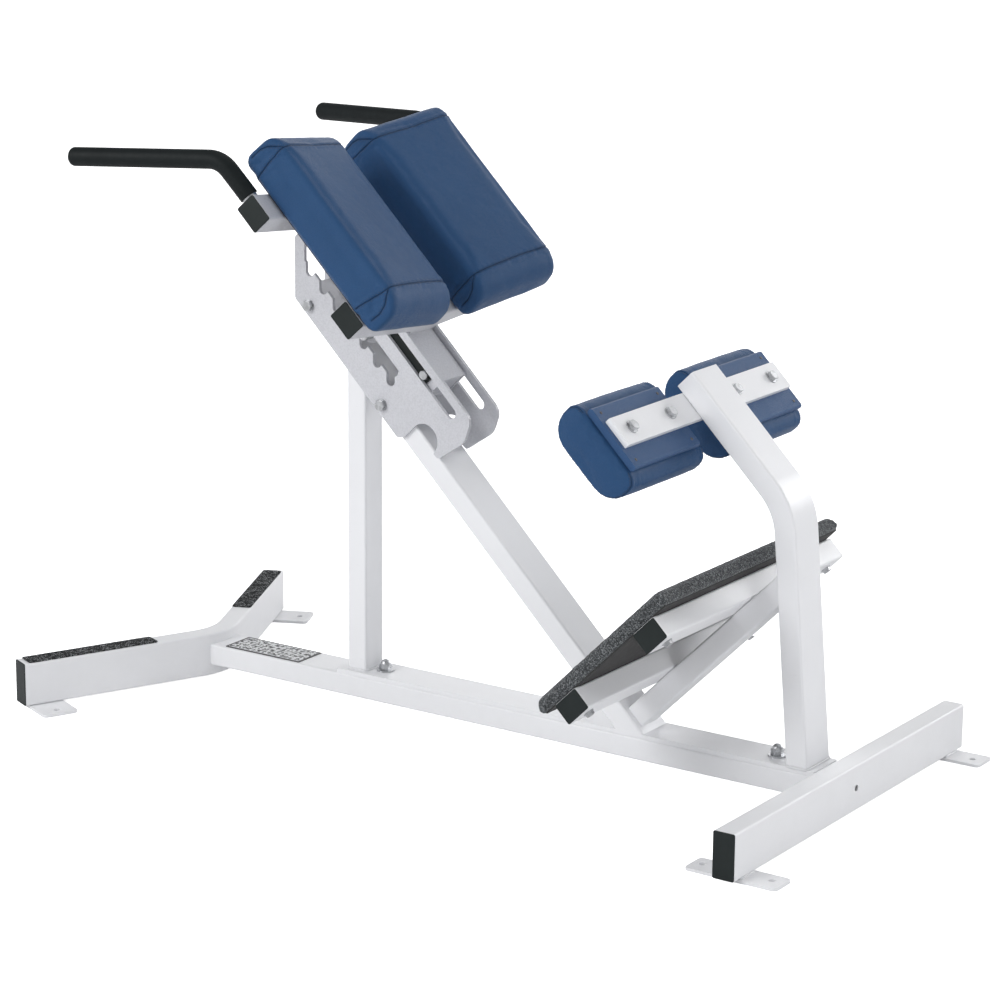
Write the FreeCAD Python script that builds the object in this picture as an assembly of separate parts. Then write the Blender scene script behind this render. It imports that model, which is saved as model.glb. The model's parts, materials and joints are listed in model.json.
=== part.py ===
import FreeCAD, Part
import math, os

# 45 degree back extension bench (roman chair) with a notch adjusted thigh pad
# carriage.  Millimetres, +Z up, +X toward the rear (the standing platform
# side), -Y is the left side of a user who faces forward (-X).  The origin is
# the centre of the footprint on the floor.

V = FreeCAD.Vector
os.makedirs("parts", exist_ok=True)

# ---------------------------------------------------------------- dimensions
XO = 691.0              # from the rear face of the rear cross member to origin
TH, TW = 76.2, 38.1     # main rectangular tube, 3 x 1.5 in
WALL = 3.0              # tube wall
RC = 4.0                # tube outer corner radius
FT = 5.0                # foot plate thickness
Z0 = FT                 # underside of the floor tubes
Z1 = FT + TH            # top of the floor tubes
# rear cross member
RCM_HALF = 376.5
RCM_FOOT_Y, RCM_FOOT_W = 337.0, 50.8
RCM_FOOT_X0, RCM_FOOT_X1 = -96.0, 62.0
RCM_HOLES_X = (-79.0, 40.3)
RCM_HOLE_Y = 334.4
HOLE_R = 5.5            # 11 mm anchor holes
# front yoke, two arms swept forward
YOKE_SWEEP = math.radians(24.4)
YOKE_APEX_X = -1265.6
YOKE_END_Y = 352.1
YOKE_BEND_R = 110.0
YTAB_W, YTAB_OUT, YTAB_HOLE_IN, YTAB_HOLE_OUT = 64.0, 60.0, 38.5, 40.4
# base rail and plate
RAIL_Z0 = Z0 + TH / 2 - TW / 2
RAIL_Z1 = RAIL_Z0 + TW
BP_T = 7.5
BP_X0, BP_X1 = -986.0, -54.0
BP_Z1 = RAIL_Z1 + BP_T
STUD_X = (-909.0, -141.0)
# posts and diagonal
FP_X0, FP_X1, FP_W = -970.6, -932.5, 50.8
DG_N0, DG_N1 = -249.5, -211.4
DG_TOP_S = -1252.0
RP_LEAN = math.radians(5.08)
RP_XC = -86.3            # rear post centreline at the base plate
RP_N = 255.05            # centreline height of the inclined part
RP_R = 115.0
RP_TOP_S = -687.0
# side plates
SP_T = 6.35
SP_Y = 38.1
SLOT_N, SLOT_HW = -135.5, 9.5
PITCH = 39.1
NOTCHES = 7
NOTCH_S1, NOTCH_N = -1264.9, -194.8
NOTCH_HW = 8.6
TIP_N = -191.0
CHAN_N1 = -169.5
# pins
PIN_R = 7.95
PIVOT_S = -997.0
DROP_DEG = 2.8
LOCK_N = -182.5
LOCK_SN = 4              # index of the notch under the lock pin at rest
# carriage
CT_Y = 35.0
CT_N0, CT_N1 = -168.8, -118.0
CT_S0, CT_S1 = -1340.0, -969.0
TILT = math.radians(9.5)
PAD_Y0, PAD_N0 = 39.0, -56.0
PAD_H = 63.0
PAD_S0, PAD_S1 = -1399.0, -1039.0
PAD_U0, PAD_U0T, PAD_U1B, PAD_U1T = 0.0, 10.0, 212.5, 206.0
PAD_SKIRT = 9.6         # the cover comes down round the edge of the board
BOARD_T = 10.0
XT_S, XT_W = 50.8, 38.1
XT_UP_S, XT_LO_S = -1309.4, -1088.0
XT_UP_U, XT_LO_U = 249.7, 205.6
GRIP_R, HT_R = 15.6, 12.7
# leg hold
LB_S0, LB_S1, LB_HALF = -674.4, -623.6, 250.0
LB_N0, LB_N1 = 226.0, 236.0
LBOLT_Y = (101.3, 214.4)
LP_Y0, LP_Y1 = 45.0, 268.0
LP_S0, LP_S1 = -727.0, -570.0
LP_N0, LP_N1 = 146.0, 214.0
LBD_Y0, LBD_Y1 = 66.0, 258.0
LBD_S0, LBD_S1 = -704.0, -588.0
# foot platform
PT_S0, PT_S1 = -399.0, -360.9
PT_N = (-117.5, 78.5)
PT_HALF = 278.0
FB_S0 = -420.0          # underside of the carpet wrap is the board top
FB_N0, FB_N1, FB_HALF = -174.0, 131.0, 270.0
STRUT_S0, STRUT_S1, STRUT_W = -360.9, -322.8, 50.8
R2 = math.sqrt(2.0)


# ------------------------------------------------------------------- helpers
def P(s, y, n):
    """Incline frame: s down the 45 degree slope to the rear, n its upward
    normal, measured from the floor line under the rear cross member."""
    return V((s + n) / R2 + XO, y, (n - s) / R2)


def Q(x, y, z):
    return V(x + XO, y, z)


S_DIR = V(1 / R2, 0, -1 / R2)
N_DIR = V(1 / R2, 0, 1 / R2)
Y_DIR = V(0, 1, 0)


def rwire(pts):
    """Closed wire through 3D points, each (Vector, corner radius)."""
    n = len(pts)
    segs = []
    for i in range(n):
        p, r = pts[i]
        a = pts[i - 1][0]
        b = pts[(i + 1) % n][0]
        if r <= 0:
            segs.append((p, None, p))
            continue
        u = (a - p).normalize()
        w = (b - p).normalize()
        ang = u.getAngle(w)
        tl = r / math.tan(ang / 2)
        t0 = p + u * tl
        t1 = p + w * tl
        bis = (u + w).normalize()
        c = p + bis * (r / math.sin(ang / 2))
        mid = c - bis * r
        segs.append((t0, mid, t1))
    edges = []
    for i in range(n):
        t0, mid, t1 = segs[i]
        nx = segs[(i + 1) % n][0]
        if mid is not None:
            edges.append(Part.Arc(t0, mid, t1).toShape())
        if t1.distanceToPoint(nx) > 1e-6:
            edges.append(Part.LineSegment(t1, nx).toShape())
    return Part.Wire(edges)


def slab(pts, vec):
    return Part.Face(rwire(pts)).extrude(vec)


def frame_m(o, ex, ey, ez):
    m = FreeCAD.Matrix(ex.x, ey.x, ez.x, o.x, ex.y, ey.y, ez.y, o.y,
                       ex.z, ey.z, ez.z, o.z, 0, 0, 0, 1)
    return m


def rect_bar(p0, p1, wdir, w, h, r):
    ax = p1 - p0
    L = ax.Length
    ez = V(ax).normalize()
    ex = V(wdir).normalize()
    ey = ez.cross(ex)
    a, b = w / 2, h / 2
    f = slab([(V(-a, -b, 0), r), (V(a, -b, 0), r), (V(a, b, 0), r),
              (V(-a, b, 0), r)], V(0, 0, L))
    return place(f, p0, ex, ey, ez)


def place(shape, o, ex, ey, ez):
    s = shape.copy()
    s.Placement = FreeCAD.Placement(frame_m(o, ex, ey, ez))
    return s


def tube(p0, p1, wdir, w, h, t=WALL, r=RC):
    ri = max(r - t, 0.8)
    o = rect_bar(p0, p1, wdir, w, h, r)
    d = (p1 - p0).normalize()
    i = rect_bar(p0 - d, p1 + d, wdir, w - 2 * t, h - 2 * t, ri)
    return o.cut(i)


def cyl(p0, p1, r):
    d = p1 - p0
    return Part.makeCylinder(r, d.Length, p0, d)


def facet_head(p, r0, r1, h, sides=20):
    """Low screw head on the leg boards: a many-sided frustum along N_DIR."""
    rings = []
    for r, k in ((r0, 0.0), (r1, h)):
        pts = []
        for i in range(sides + 1):
            a = 2 * math.pi * (i % sides) / sides
            pts.append(p + N_DIR * k + S_DIR * (r * math.cos(a)) + Y_DIR * (r * math.sin(a)))
        rings.append(Part.makePolygon(pts))
    return Part.makeLoft(rings, True, True)


def hexa(p0, d, af, h, cham=True):
    """Hexagonal head, af across flats, rising h from p0 along d."""
    d = V(d).normalize()
    ref = V(0, 0, 1) if abs(d.z) < 0.8 else V(1, 0, 0)
    ex = d.cross(ref).normalize()
    ey = d.cross(ex)
    R = af / math.sqrt(3)
    pts = [p0 + ex * (R * math.cos(math.radians(60 * k)))
           + ey * (R * math.sin(math.radians(60 * k))) for k in range(6)]
    s = slab([(p, 0) for p in pts], d * h)
    if cham:
        c2 = Part.makeCone(af * 0.5 + h * 1.4, af * 0.5 - 0.35, h, p0, d)
        s = s.common(c2)
    return s


def ring(p0, d, ro, ri, h):
    d = V(d).normalize()
    return cyl(p0, p0 + d * h, ro).cut(cyl(p0 - d, p0 + d * (h + 1), ri))


def solids(shape):
    out = []
    for s in (shape if isinstance(shape, (list, tuple)) else [shape]):
        out += s.Solids
    return out


def emit(name, shape):
    ss = solids(shape)
    assert ss, name
    for s in ss:
        assert s.isValid() and s.Volume > 0, (name, s.Volume)
    body = ss[0] if len(ss) == 1 else Part.makeCompound(ss)
    body.exportStep("parts/%s.step" % name)
    return body


def mirror(shape):
    return shape.mirror(V(0, 0, 0), V(0, 1, 0))


def cut_all(base, tools):
    for t in tools:
        base = base.cut(t)
    return base


# ---------------------------------------------------------------- front yoke
def yoke_plan(half, z0, z1, ext=0.0):
    ca, sa = math.cos(YOKE_SWEEP), math.sin(YOKE_SWEEP)
    y = YOKE_END_Y + ext * ca
    ex = YOKE_APEX_X - math.tan(YOKE_SWEEP) * y
    ap_r = YOKE_APEX_X + half / ca
    ap_f = YOKE_APEX_X - half / ca
    nx, ny = ca * half, sa * half
    pts = [(Q(ex + nx, -y - ny, z0), 0), (Q(ap_r, 0, z0), YOKE_BEND_R + half),
           (Q(ex + nx, y + ny, z0), 0), (Q(ex - nx, y - ny, z0), 0),
           (Q(ap_f, 0, z0), YOKE_BEND_R - half), (Q(ex - nx, -y + ny, z0), 0)]
    return slab(pts, V(0, 0, z1 - z0))


def long_edges_z(sh, z0, z1, lim):
    out = []
    for e in sh.Edges:
        zs = [v.Z for v in e.Vertexes]
        if all(abs(z - z0) < 1e-4 for z in zs) or all(abs(z - z1) < 1e-4 for z in zs):
            if e.Length > lim:
                out.append(e)
    return out


yo = yoke_plan(TW / 2, Z0, Z1)
yo = yo.makeFillet(RC, long_edges_z(yo, Z0, Z1, 40.0))
yi = yoke_plan(TW / 2 - WALL, Z0 + WALL, Z1 - WALL, ext=2.0)
yoke_outer = yo
yoke = yo.cut(yi)
emit("front_yoke_tube", yoke)

ca, sa = math.cos(YOKE_SWEEP), math.sin(YOKE_SWEEP)
caps, tabs, strips = [], [], []
END = Q(YOKE_APEX_X - math.tan(YOKE_SWEEP) * YOKE_END_Y, -YOKE_END_Y, 0)
OUT = V(-sa, -ca, 0)          # outward along the left arm
REAR = V(ca, -sa, 0)          # rear normal of the left arm
zc = V(0, 0, (Z0 + Z1) / 2)
c0 = END + zc


def plug(p_end, out, wdir, w, h, depth=14.0, lip=1.6):
    """Moulded tube plug: the shank sits in the bore and a thin flange with
    rounded edges covers the cut end of the tube wall."""
    a = rect_bar(p_end - out * depth, p_end, wdir,
                 w - 2 * WALL, h - 2 * WALL, 1.0)
    f = rect_bar(p_end, p_end + out * lip, wdir, w - 1.0, h - 1.0, 3.0)
    ed = [e for e in f.Edges if all(abs((v.Point - p_end).dot(out) - lip) < 1e-4
                                    for v in e.Vertexes)]
    return a.fuse(f.makeFillet(0.9, ed)).removeSplitter()


pl = plug(c0, OUT, REAR, TW, TH)
emit("front_yoke_end_caps", [pl, mirror(pl)])

tb = END + V(0, 0, 0)
hold = END + OUT * (-YTAB_HOLE_IN) + REAR * (TW / 2 + YTAB_HOLE_OUT)
e0 = OUT * (-YTAB_HOLE_IN + YTAB_W / 2)
e1 = OUT * (-YTAB_HOLE_IN - YTAB_W / 2)
f0 = REAR * (-TW / 2)
f1 = REAR * (TW / 2 + YTAB_OUT)
tab = slab([(END + e0 + f0, 0), (END + e0 + f1, 8), (END + e1 + f1, 8),
            (END + e1 + f0, 0)], V(0, 0, FT))
tab = tab.cut(cyl(hold - V(0, 0, 1), hold + V(0, 0, FT + 1), HOLE_R))
emit("front_foot_tabs", [tab, mirror(tab)])
YOKE_HOLE = hold

g0, g1 = -9.0, -252.0
gw = TW / 2 - 1.6
strip = slab([(END + OUT * g0 + REAR * gw + V(0, 0, Z1), 4), (END + OUT * g0 - REAR * gw + V(0, 0, Z1), 4),
              (END + OUT * g1 - REAR * gw + V(0, 0, Z1), 4), (END + OUT * g1 + REAR * gw + V(0, 0, Z1), 4)],
             V(0, 0, 1.8))
emit("front_grip_strips", [strip, mirror(strip)])

# -------------------------------------------------------------- rear member
rc_o = rect_bar(Q(-TW / 2, -RCM_HALF, Z0 + TH / 2), Q(-TW / 2, RCM_HALF, Z0 + TH / 2),
                V(0, 0, 1), TH, TW, RC)
rcm = tube(Q(-TW / 2, -RCM_HALF, Z0 + TH / 2), Q(-TW / 2, RCM_HALF, Z0 + TH / 2),
           V(0, 0, 1), TH, TW)
rcm = rcm.cut(cyl(Q(-8, 3.5, 43.0), Q(2, 3.5, 43.0), 5.4))
emit("rear_cross_member", rcm)
pl = plug(Q(-TW / 2, -RCM_HALF, Z0 + TH / 2), V(0, -1, 0), V(0, 0, 1), TH, TW)
emit("rear_cross_end_caps", [pl, mirror(pl)])
yA, yB = -RCM_FOOT_Y - RCM_FOOT_W / 2, -RCM_FOOT_Y + RCM_FOOT_W / 2
fp = slab([(Q(RCM_FOOT_X0, yA, 0), 8), (Q(RCM_FOOT_X1, yA, 0), 8),
           (Q(RCM_FOOT_X1, yB, 0), 8), (Q(RCM_FOOT_X0, yB, 0), 8)], V(0, 0, FT))
for hx in RCM_HOLES_X:
    fp = fp.cut(cyl(Q(hx, -RCM_HOLE_Y, -1), Q(hx, -RCM_HOLE_Y, FT + 1), HOLE_R))
emit("rear_foot_plates", [fp, mirror(fp)])

# ------------------------------------------------------- base rail and plate
rz = (RAIL_Z0 + RAIL_Z1) / 2
rail = tube(Q(-1300, 0, rz), Q(-TW, 0, rz), Y_DIR, TH, TW)
rail = rail.cut(yoke_outer)
rail = sorted(rail.Solids, key=lambda s: s.BoundBox.XMax)[-1]
stud_r = 6.35
for sx in STUD_X:
    rail = rail.cut(cyl(Q(sx, 0, rz), Q(sx, 0, RAIL_Z1 + 1), stud_r))
emit("base_rail", rail)

hy = TH / 2
bplate = slab([(Q(BP_X0, -hy, RAIL_Z1), 3), (Q(BP_X1, -hy, RAIL_Z1), 3),
               (Q(BP_X1, hy, RAIL_Z1), 3), (Q(BP_X0, hy, RAIL_Z1), 3)], V(0, 0, BP_T))
for sx in STUD_X:
    bplate = bplate.cut(cyl(Q(sx, 0, RAIL_Z1 - 1), Q(sx, 0, BP_Z1 + 1), stud_r))
emit("frame_base_plate", bplate)
studs, nuts, wash = [], [], []
for sx in STUD_X:
    studs.append(cyl(Q(sx, 0, RAIL_Z1 - WALL - 6), Q(sx, 0, BP_Z1 + 2.5 + 12), stud_r))
    wash.append(ring(Q(sx, 0, BP_Z1), V(0, 0, 1), 15.5, stud_r, 2.5))
    hx = hexa(Q(sx, 0, BP_Z1 + 2.5), V(0, 0, 1), 19.05, 10.0)
    dome = Part.makeSphere(8.6, Q(sx, 0, BP_Z1 + 2.5 + 9.0)).common(
        Part.makeBox(40, 40, 20, Q(sx - 20, -20, BP_Z1 + 2.5 + 9.0)))
    nut = hx.fuse(dome).removeSplitter()
    nut = nut.cut(cyl(Q(sx, 0, BP_Z1), Q(sx, 0, BP_Z1 + 2.5 + 12), stud_r))
    nuts.append(nut)
emit("base_plate_studs", studs)
emit("base_plate_washers", wash)
emit("base_plate_dome_nuts", nuts)
info = slab([(Q(-1233, -33.5, RAIL_Z1), 2), (Q(-1071, -33.5, RAIL_Z1), 2),
             (Q(-1071, 33.5, RAIL_Z1), 2), (Q(-1233, 33.5, RAIL_Z1), 2)], V(0, 0, 1.0))
emit("base_info_plate", info)

# ------------------------------------------------------------ posts, diagonal
dn_c = (DG_N0 + DG_N1) / 2
dg_o = rect_bar(P(DG_TOP_S, 0, dn_c), P(-150, 0, dn_c), Y_DIR, TH, TW, RC)
dg = tube(P(DG_TOP_S, 0, dn_c), P(-150, 0, dn_c), Y_DIR, TH, TW)
floor_cut = Part.makeBox(4000, 800, 400, V(-2000, -400, BP_Z1 - 400))
dg = dg.cut(floor_cut)
dg_o = dg_o.cut(floor_cut)
BOLT_S = (-1226.0, -1013.0)
BOLT_N = -238.0
for bs in BOLT_S:
    dg = dg.cut(cyl(P(bs, -60, BOLT_N), P(bs, 60, BOLT_N), 5.0))
emit("diagonal_tube", dg)
# front post, mitred under the diagonal
fx = (FP_X0 + FP_X1) / 2
post = tube(Q(fx, 0, BP_Z1), Q(fx, 0, 720), Y_DIR, FP_W, TW)
hs = slab([(P(-1700, -150, DG_N0), 0), (P(-700, -150, DG_N0), 0),
           (P(-700, -150, 300), 0), (P(-1700, -150, 300), 0)], V(0, 300, 0))
post = post.cut(hs)
emit("front_post", post)


# rear post: lean, large bend, 45 degree top
def rpost(half, ydist, lo_ext, hi_ext):
    tl = math.tan(RP_LEAN)

    def xlow(z, off):
        return RP_XC - (z - BP_Z1) * tl + off / math.cos(RP_LEAN)
    res = []
    zb = BP_Z1 - lo_ext
    for off in (-half, half):
        # line X = a - b z  with X + Z = sqrt2 * n
        n = RP_N + off
        a = RP_XC + BP_Z1 * tl + off / math.cos(RP_LEAN)
        z = (n * R2 - a) / (1 - tl)
        x = n * R2 - z
        res.append((off, x, z, n))
    (o1, x1, z1, n1), (o2, x2, z2, n2) = res
    st = RP_TOP_S - hi_ext
    pts = [(Q(xlow(zb, -half), -ydist, zb), 0), (Q(x1, -ydist, z1), RP_R - half),
           (P(st, -ydist, n1), 0), (P(st, -ydist, n2), 0),
           (Q(x2, -ydist, z2), RP_R + half), (Q(xlow(zb, half), -ydist, zb), 0)]
    return slab(pts, V(0, 2 * ydist, 0))


def long_edges_y(sh, yv, lim):
    out = []
    for e in sh.Edges:
        if all(abs(abs(v.Y) - yv) < 1e-4 for v in e.Vertexes) and e.Length > lim:
            if abs(e.Vertexes[0].Y - e.Vertexes[-1].Y) < 1e-3:
                out.append(e)
    return out


rp = rpost(TW / 2, TH / 2, 0, 0)
rp = rp.makeFillet(RC, long_edges_y(rp, TH / 2, 40.0))
rp_in = rpost(TW / 2 - WALL, TH / 2 - WALL, 2, -4.0)
rp_out = rp
rp = rp.cut(rp_in)
emit("rear_post", rp)

# ---------------------------------------------------------------- side plates
def side_plate(y):
    base = slab([
        (P(-954.0, y, -252.0), 7), (P(-946.0, y, -240.0), 0),
        (P(-946.0, y, -212.0), 0), (P(-890.0, y, -212.0), 0),
        (P(-878.0, y, -211.5), 5), (P(-866.0, y, -150.0), 30),
        (P(-884.0, y, -112.0), 24), (P(-1186.0, y, -112.0), 14),
        (P(-1186.0, y, CHAN_N1), 9), (P(-1100.0, y, CHAN_N1 - 3), 0),
        (P(-1100.0, y, TIP_N), 0), (P(-1238.0, y, TIP_N), 0),
        (Q(-1043.8, y, 0) + V(0, 0, TIP_N * R2 + 1043.8 - 0.0), 0),
        (Q(-1043.8, y, 814.0), 9.5), (Q(-1064.3, y, 822.0), 9.5),
        (Q(-1064.3, y, -252.0 * R2 + 1064.3), 8)], V(0, SP_T, 0))
    w = SP_T + 2
    y0 = y - 1
    # guide slot for the slide pin
    s0, s1 = PIVOT_S - 4 * PITCH - 3.0, PIVOT_S + 2 * PITCH + 1.5
    slot = slab([(P(s0, y0, SLOT_N - SLOT_HW), 0), (P(s1, y0, SLOT_N - SLOT_HW), 0),
                 (P(s1, y0, SLOT_N + SLOT_HW), 0), (P(s0, y0, SLOT_N + SLOT_HW), 0)], V(0, w, 0))
    slot = slot.fuse([cyl(P(s0, y0, SLOT_N), P(s0, y0 + w, SLOT_N), SLOT_HW),
                      cyl(P(s1, y0, SLOT_N), P(s1, y0 + w, SLOT_N), SLOT_HW)])
    base = base.cut(slot)
    # channel above the teeth
    s7 = NOTCH_S1 + 6 * PITCH
    x7 = (s7 + NOTCH_N) / R2 + NOTCH_HW + 3.2
    ch = slab([(P(-1300.0, y0, TIP_N), 0), (P(s7 - 4, y0, TIP_N), 0),
               (P(s7 + 2.0, y0, CHAN_N1 - 8), 0), (P(s7 - 2.0, y0, CHAN_N1), 0),
               (P(-1300.0, y0, CHAN_N1), 0)], V(0, w, 0))
    keep = Part.makeBox(200, w + 2, 900, V(-1243.8 + XO, y0 - 1, 0))
    base = base.cut(ch.cut(keep))
    # notches
    for k in range(NOTCHES):
        sk = NOTCH_S1 + k * PITCH
        xc = (sk + NOTCH_N) / R2
        zc_ = (NOTCH_N - sk) / R2
        xa, xb = xc - NOTCH_HW, xc + NOTCH_HW
        # open upward as far as the channel
        za = CHAN_N1 * R2 - xa - 2.0
        zb = CHAN_N1 * R2 - xb - 0.5
        slot = slab([(Q(xa, y0, zc_), 0), (Q(xb, y0, zc_), 0), (Q(xb, y0, zb), 0),
                     (Q(xa, y0, za - 6.0), 0)], V(0, w, 0))
        base = base.cut(slot.fuse(cyl(Q(xc, y0, zc_), Q(xc, y0 + w, zc_), NOTCH_HW)))
    # arch over the diagonal
    base = base.cut(cyl(P(-918.0, y0, -212.0), P(-918.0, y0 + w, -212.0), 28.0))
    for bs in BOLT_S:
        base = base.cut(cyl(P(bs, y0, BOLT_N), P(bs, y0 + w, BOLT_N), 5.0))
    base = max(base.Solids, key=lambda q: q.Volume)
    return base


spl = side_plate(-SP_Y - SP_T)
emit("side_plate_left", spl)
spr = side_plate(SP_Y)
emit("side_plate_right", spr)

yo_ = SP_Y + SP_T
bolts, nuts, wash = [], [], []
for bs in BOLT_S:
    b = cyl(P(bs, -yo_ - 1.6, BOLT_N), P(bs, yo_ + 12, BOLT_N), 5.0)
    b = b.fuse(hexa(P(bs, -yo_ - 1.6, BOLT_N), V(0, -1, 0), 17.0, 6.4)).removeSplitter()
    bolts.append(b)
    for sg in (-1, 1):
        wash.append(ring(P(bs, sg * yo_, BOLT_N), V(0, sg, 0), 10.5, 5.0, 1.6))
    n_ = hexa(P(bs, yo_ + 1.6, BOLT_N), V(0, 1, 0), 17.0, 8.4).cut(
        cyl(P(bs, yo_, BOLT_N), P(bs, yo_ + 14, BOLT_N), 5.0))
    nuts.append(n_)
emit("side_plate_bolts", bolts)
emit("side_plate_washers", wash)
emit("side_plate_nuts", nuts)

# ------------------------------------------------------- platform and strut
sc = (STRUT_S0 + STRUT_S1) / 2
strut = tube(P(sc, 0, DG_N1 - 30), P(sc, 0, 260), Y_DIR, STRUT_W, TW)
half_l = slab([(P(-700, -100, DG_N1), 0), (P(0, -100, DG_N1), 0),
               (P(0, -100, DG_N1 - 400), 0), (P(-700, -100, DG_N1 - 400), 0)], V(0, 200, 0))
strut = strut.cut(half_l).cut(floor_cut)
rp_blk = rpost(TW / 2, TH / 2, 30, 0)
behind = slab([(Q(RP_XC, -100, 0), 0), (Q(RP_XC + 400, -100, 0), 0),
               (Q(RP_XC + 400, -100, 600), 0), (Q(RP_XC - 40, -100, 600), 0)], V(0, 200, 0))
strut = strut.cut(rp_blk).cut(behind)
strut = max(strut.Solids, key=lambda q: q.Volume)
emit("platform_strut", strut)

ptc = (PT_S0 + PT_S1) / 2
caps = []
for nm, nn in (("platform_lower_tube", PT_N[0]), ("platform_upper_tube", PT_N[1])):
    t = tube(P(ptc, -PT_HALF, nn), P(ptc, PT_HALF, nn), N_DIR, 50.8, 38.1)
    for yb in (-251.0, 251.0):
        t = t.cut(cyl(P(PT_S0 - 1, yb, nn), P(PT_S1 + 1, yb, nn), 4.0))
    emit(nm, t)
    c_ = plug(P(ptc, -PT_HALF, nn), V(0, -1, 0), N_DIR, 50.8, 38.1)
    caps += [c_, mirror(c_)]
emit("platform_tube_end_caps", caps)

BD_T = 18.0
board = slab([(P(PT_S0 - BD_T, -FB_HALF, FB_N0 + 3), 5), (P(PT_S0 - BD_T, -FB_HALF, FB_N1 - 3), 5),
              (P(PT_S0, -FB_HALF, FB_N1 - 3), 2), (P(PT_S0, -FB_HALF, FB_N0 + 3), 2)],
             V(0, 2 * FB_HALF, 0))
for nn in PT_N:
    for yb in (-251.0, 251.0):
        board = board.cut(cyl(P(PT_S0 - 12, yb, nn), P(PT_S0 + 1, yb, nn), 4.0))
# carpet: wraps the top, the two long edges and the two side edges of the board
cpt = slab([(P(PT_S0 - BD_T - 9.5, -FB_HALF - 5, FB_N0 - 5), 13),
            (P(PT_S0 - BD_T - 9.5, -FB_HALF - 5, FB_N1 + 5), 13),
            (P(PT_S0 - 0.5, -FB_HALF - 5, FB_N1 + 5), 8),
            (P(PT_S0 - 0.5, -FB_HALF - 5, FB_N0 - 5), 8)], V(0, 2 * FB_HALF + 10, 0))
inner = slab([(P(PT_S0 - BD_T, -FB_HALF, FB_N0 + 3), 5), (P(PT_S0 - BD_T, -FB_HALF, FB_N1 - 3), 5),
              (P(PT_S0 + 6, -FB_HALF, FB_N1 - 3), 0), (P(PT_S0 + 6, -FB_HALF, FB_N0 + 3), 0)],
             V(0, 2 * FB_HALF, 0))
cpt = cpt.cut(inner)
emit("platform_board", board)
emit("platform_carpet", max(cpt.Solids, key=lambda q: q.Volume))
bl = []
for nn in PT_N:
    for yb in (-251.0, 251.0):
        b = cyl(P(PT_S0 - 12, yb, nn), P(PT_S1 + 1.6, yb, nn), 4.0)
        b = b.fuse(cyl(P(PT_S1, yb, nn), P(PT_S1 + 1.6, yb, nn), 9.0))
        b = b.fuse(hexa(P(PT_S1 + 1.6, yb, nn), S_DIR, 13.0, 5.4)).removeSplitter()
        bl.append(b)
emit("platform_bolts", bl)

# ------------------------------------------------------------------ leg hold
bar = slab([(P(LB_S0, -LB_HALF, LB_N0), 0.8), (P(LB_S1, -LB_HALF, LB_N0), 0.8),
            (P(LB_S1, -LB_HALF, LB_N1), 0.8), (P(LB_S0, -LB_HALF, LB_N1), 0.8)],
           V(0, 2 * LB_HALF, 0))
lc = (LB_S0 + LB_S1) / 2
ys = [sg * y for y in LBOLT_Y for sg in (-1, 1)]
for y in ys:
    bar = bar.cut(cyl(P(lc, y, LB_N0 - 1), P(lc, y, LB_N1 + 1), 5.0))
emit("leg_hold_bar", bar)
lbd = slab([(P(LBD_S0, -LBD_Y1, LP_N1), 5), (P(LBD_S1, -LBD_Y1, LP_N1), 5),
            (P(LBD_S1, -LBD_Y1, LB_N0), 5), (P(LBD_S0, -LBD_Y1, LB_N0), 5)],
           V(0, LBD_Y1 - LBD_Y0, 0))
for y in LBOLT_Y:
    lbd = lbd.cut(cyl(P(lc, -y, LB_N0 - 10), P(lc, -y, LB_N0 + 1), 5.0))
SCREWS = []
for y in (LBD_Y0 + 14, LBD_Y1 - 14):
    for s_ in (LBD_S0 + 13, LBD_S1 - 13):
        SCREWS.append((s_, y))
emit("leg_pad_board_left", lbd)
emit("leg_pad_board_right", mirror(lbd))
lp = slab([(P(LP_S0, -LP_Y1, LP_N1), 16), (P(LP_S1, -LP_Y1, LP_N1), 16),
           (P(LP_S1, -LP_Y1, LP_N0), 40), (P(LP_S0, -LP_Y1, LP_N0), 40)],
          V(0, LP_Y1 - LP_Y0, 0))
emit("leg_pad_left", lp)
emit("leg_pad_right", mirror(lp))
bl, ws = [], []
for y in ys:
    b = cyl(P(lc, y, LB_N0 - 10), P(lc, y, LB_N1 + 2), 5.0)
    b = b.fuse(hexa(P(lc, y, LB_N1 + 2), N_DIR, 15.9, 6.6)).removeSplitter()
    bl.append(b)
    ws.append(ring(P(lc, y, LB_N1), N_DIR, 11.0, 5.0, 2.0))
emit("leg_pad_bolts", bl)
emit("leg_pad_washers", ws)
sc_ = []
for s_, y in SCREWS:
    for sg in (-1, 1):
        h = facet_head(P(s_, sg * y, LB_N0), 2.8, 1.9, 1.0)
        sc_.append(h)
emit("leg_board_screws", sc_)

# ------------------------------------------------------------------ carriage
piv_n = SLOT_N
d_ = math.radians(DROP_DEG)
# the dropped pin hangs on the vertical line of its notch
s_notch = NOTCH_S1 + LOCK_SN * PITCH
ry = LOCK_N - piv_n
lo, hi = -160.0, -90.0
for _ in range(60):
    rx = (lo + hi) / 2
    sl = PIVOT_S + math.cos(d_) * rx - math.sin(d_) * ry
    nl = piv_n + math.sin(d_) * rx + math.cos(d_) * ry
    if (sl + nl) > (s_notch + NOTCH_N):
        hi = rx
    else:
        lo = rx
LOCK_S = PIVOT_S + rx
print("lock pin rest s %.2f, dropped s %.2f n %.2f" % (LOCK_S, sl, nl))

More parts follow.
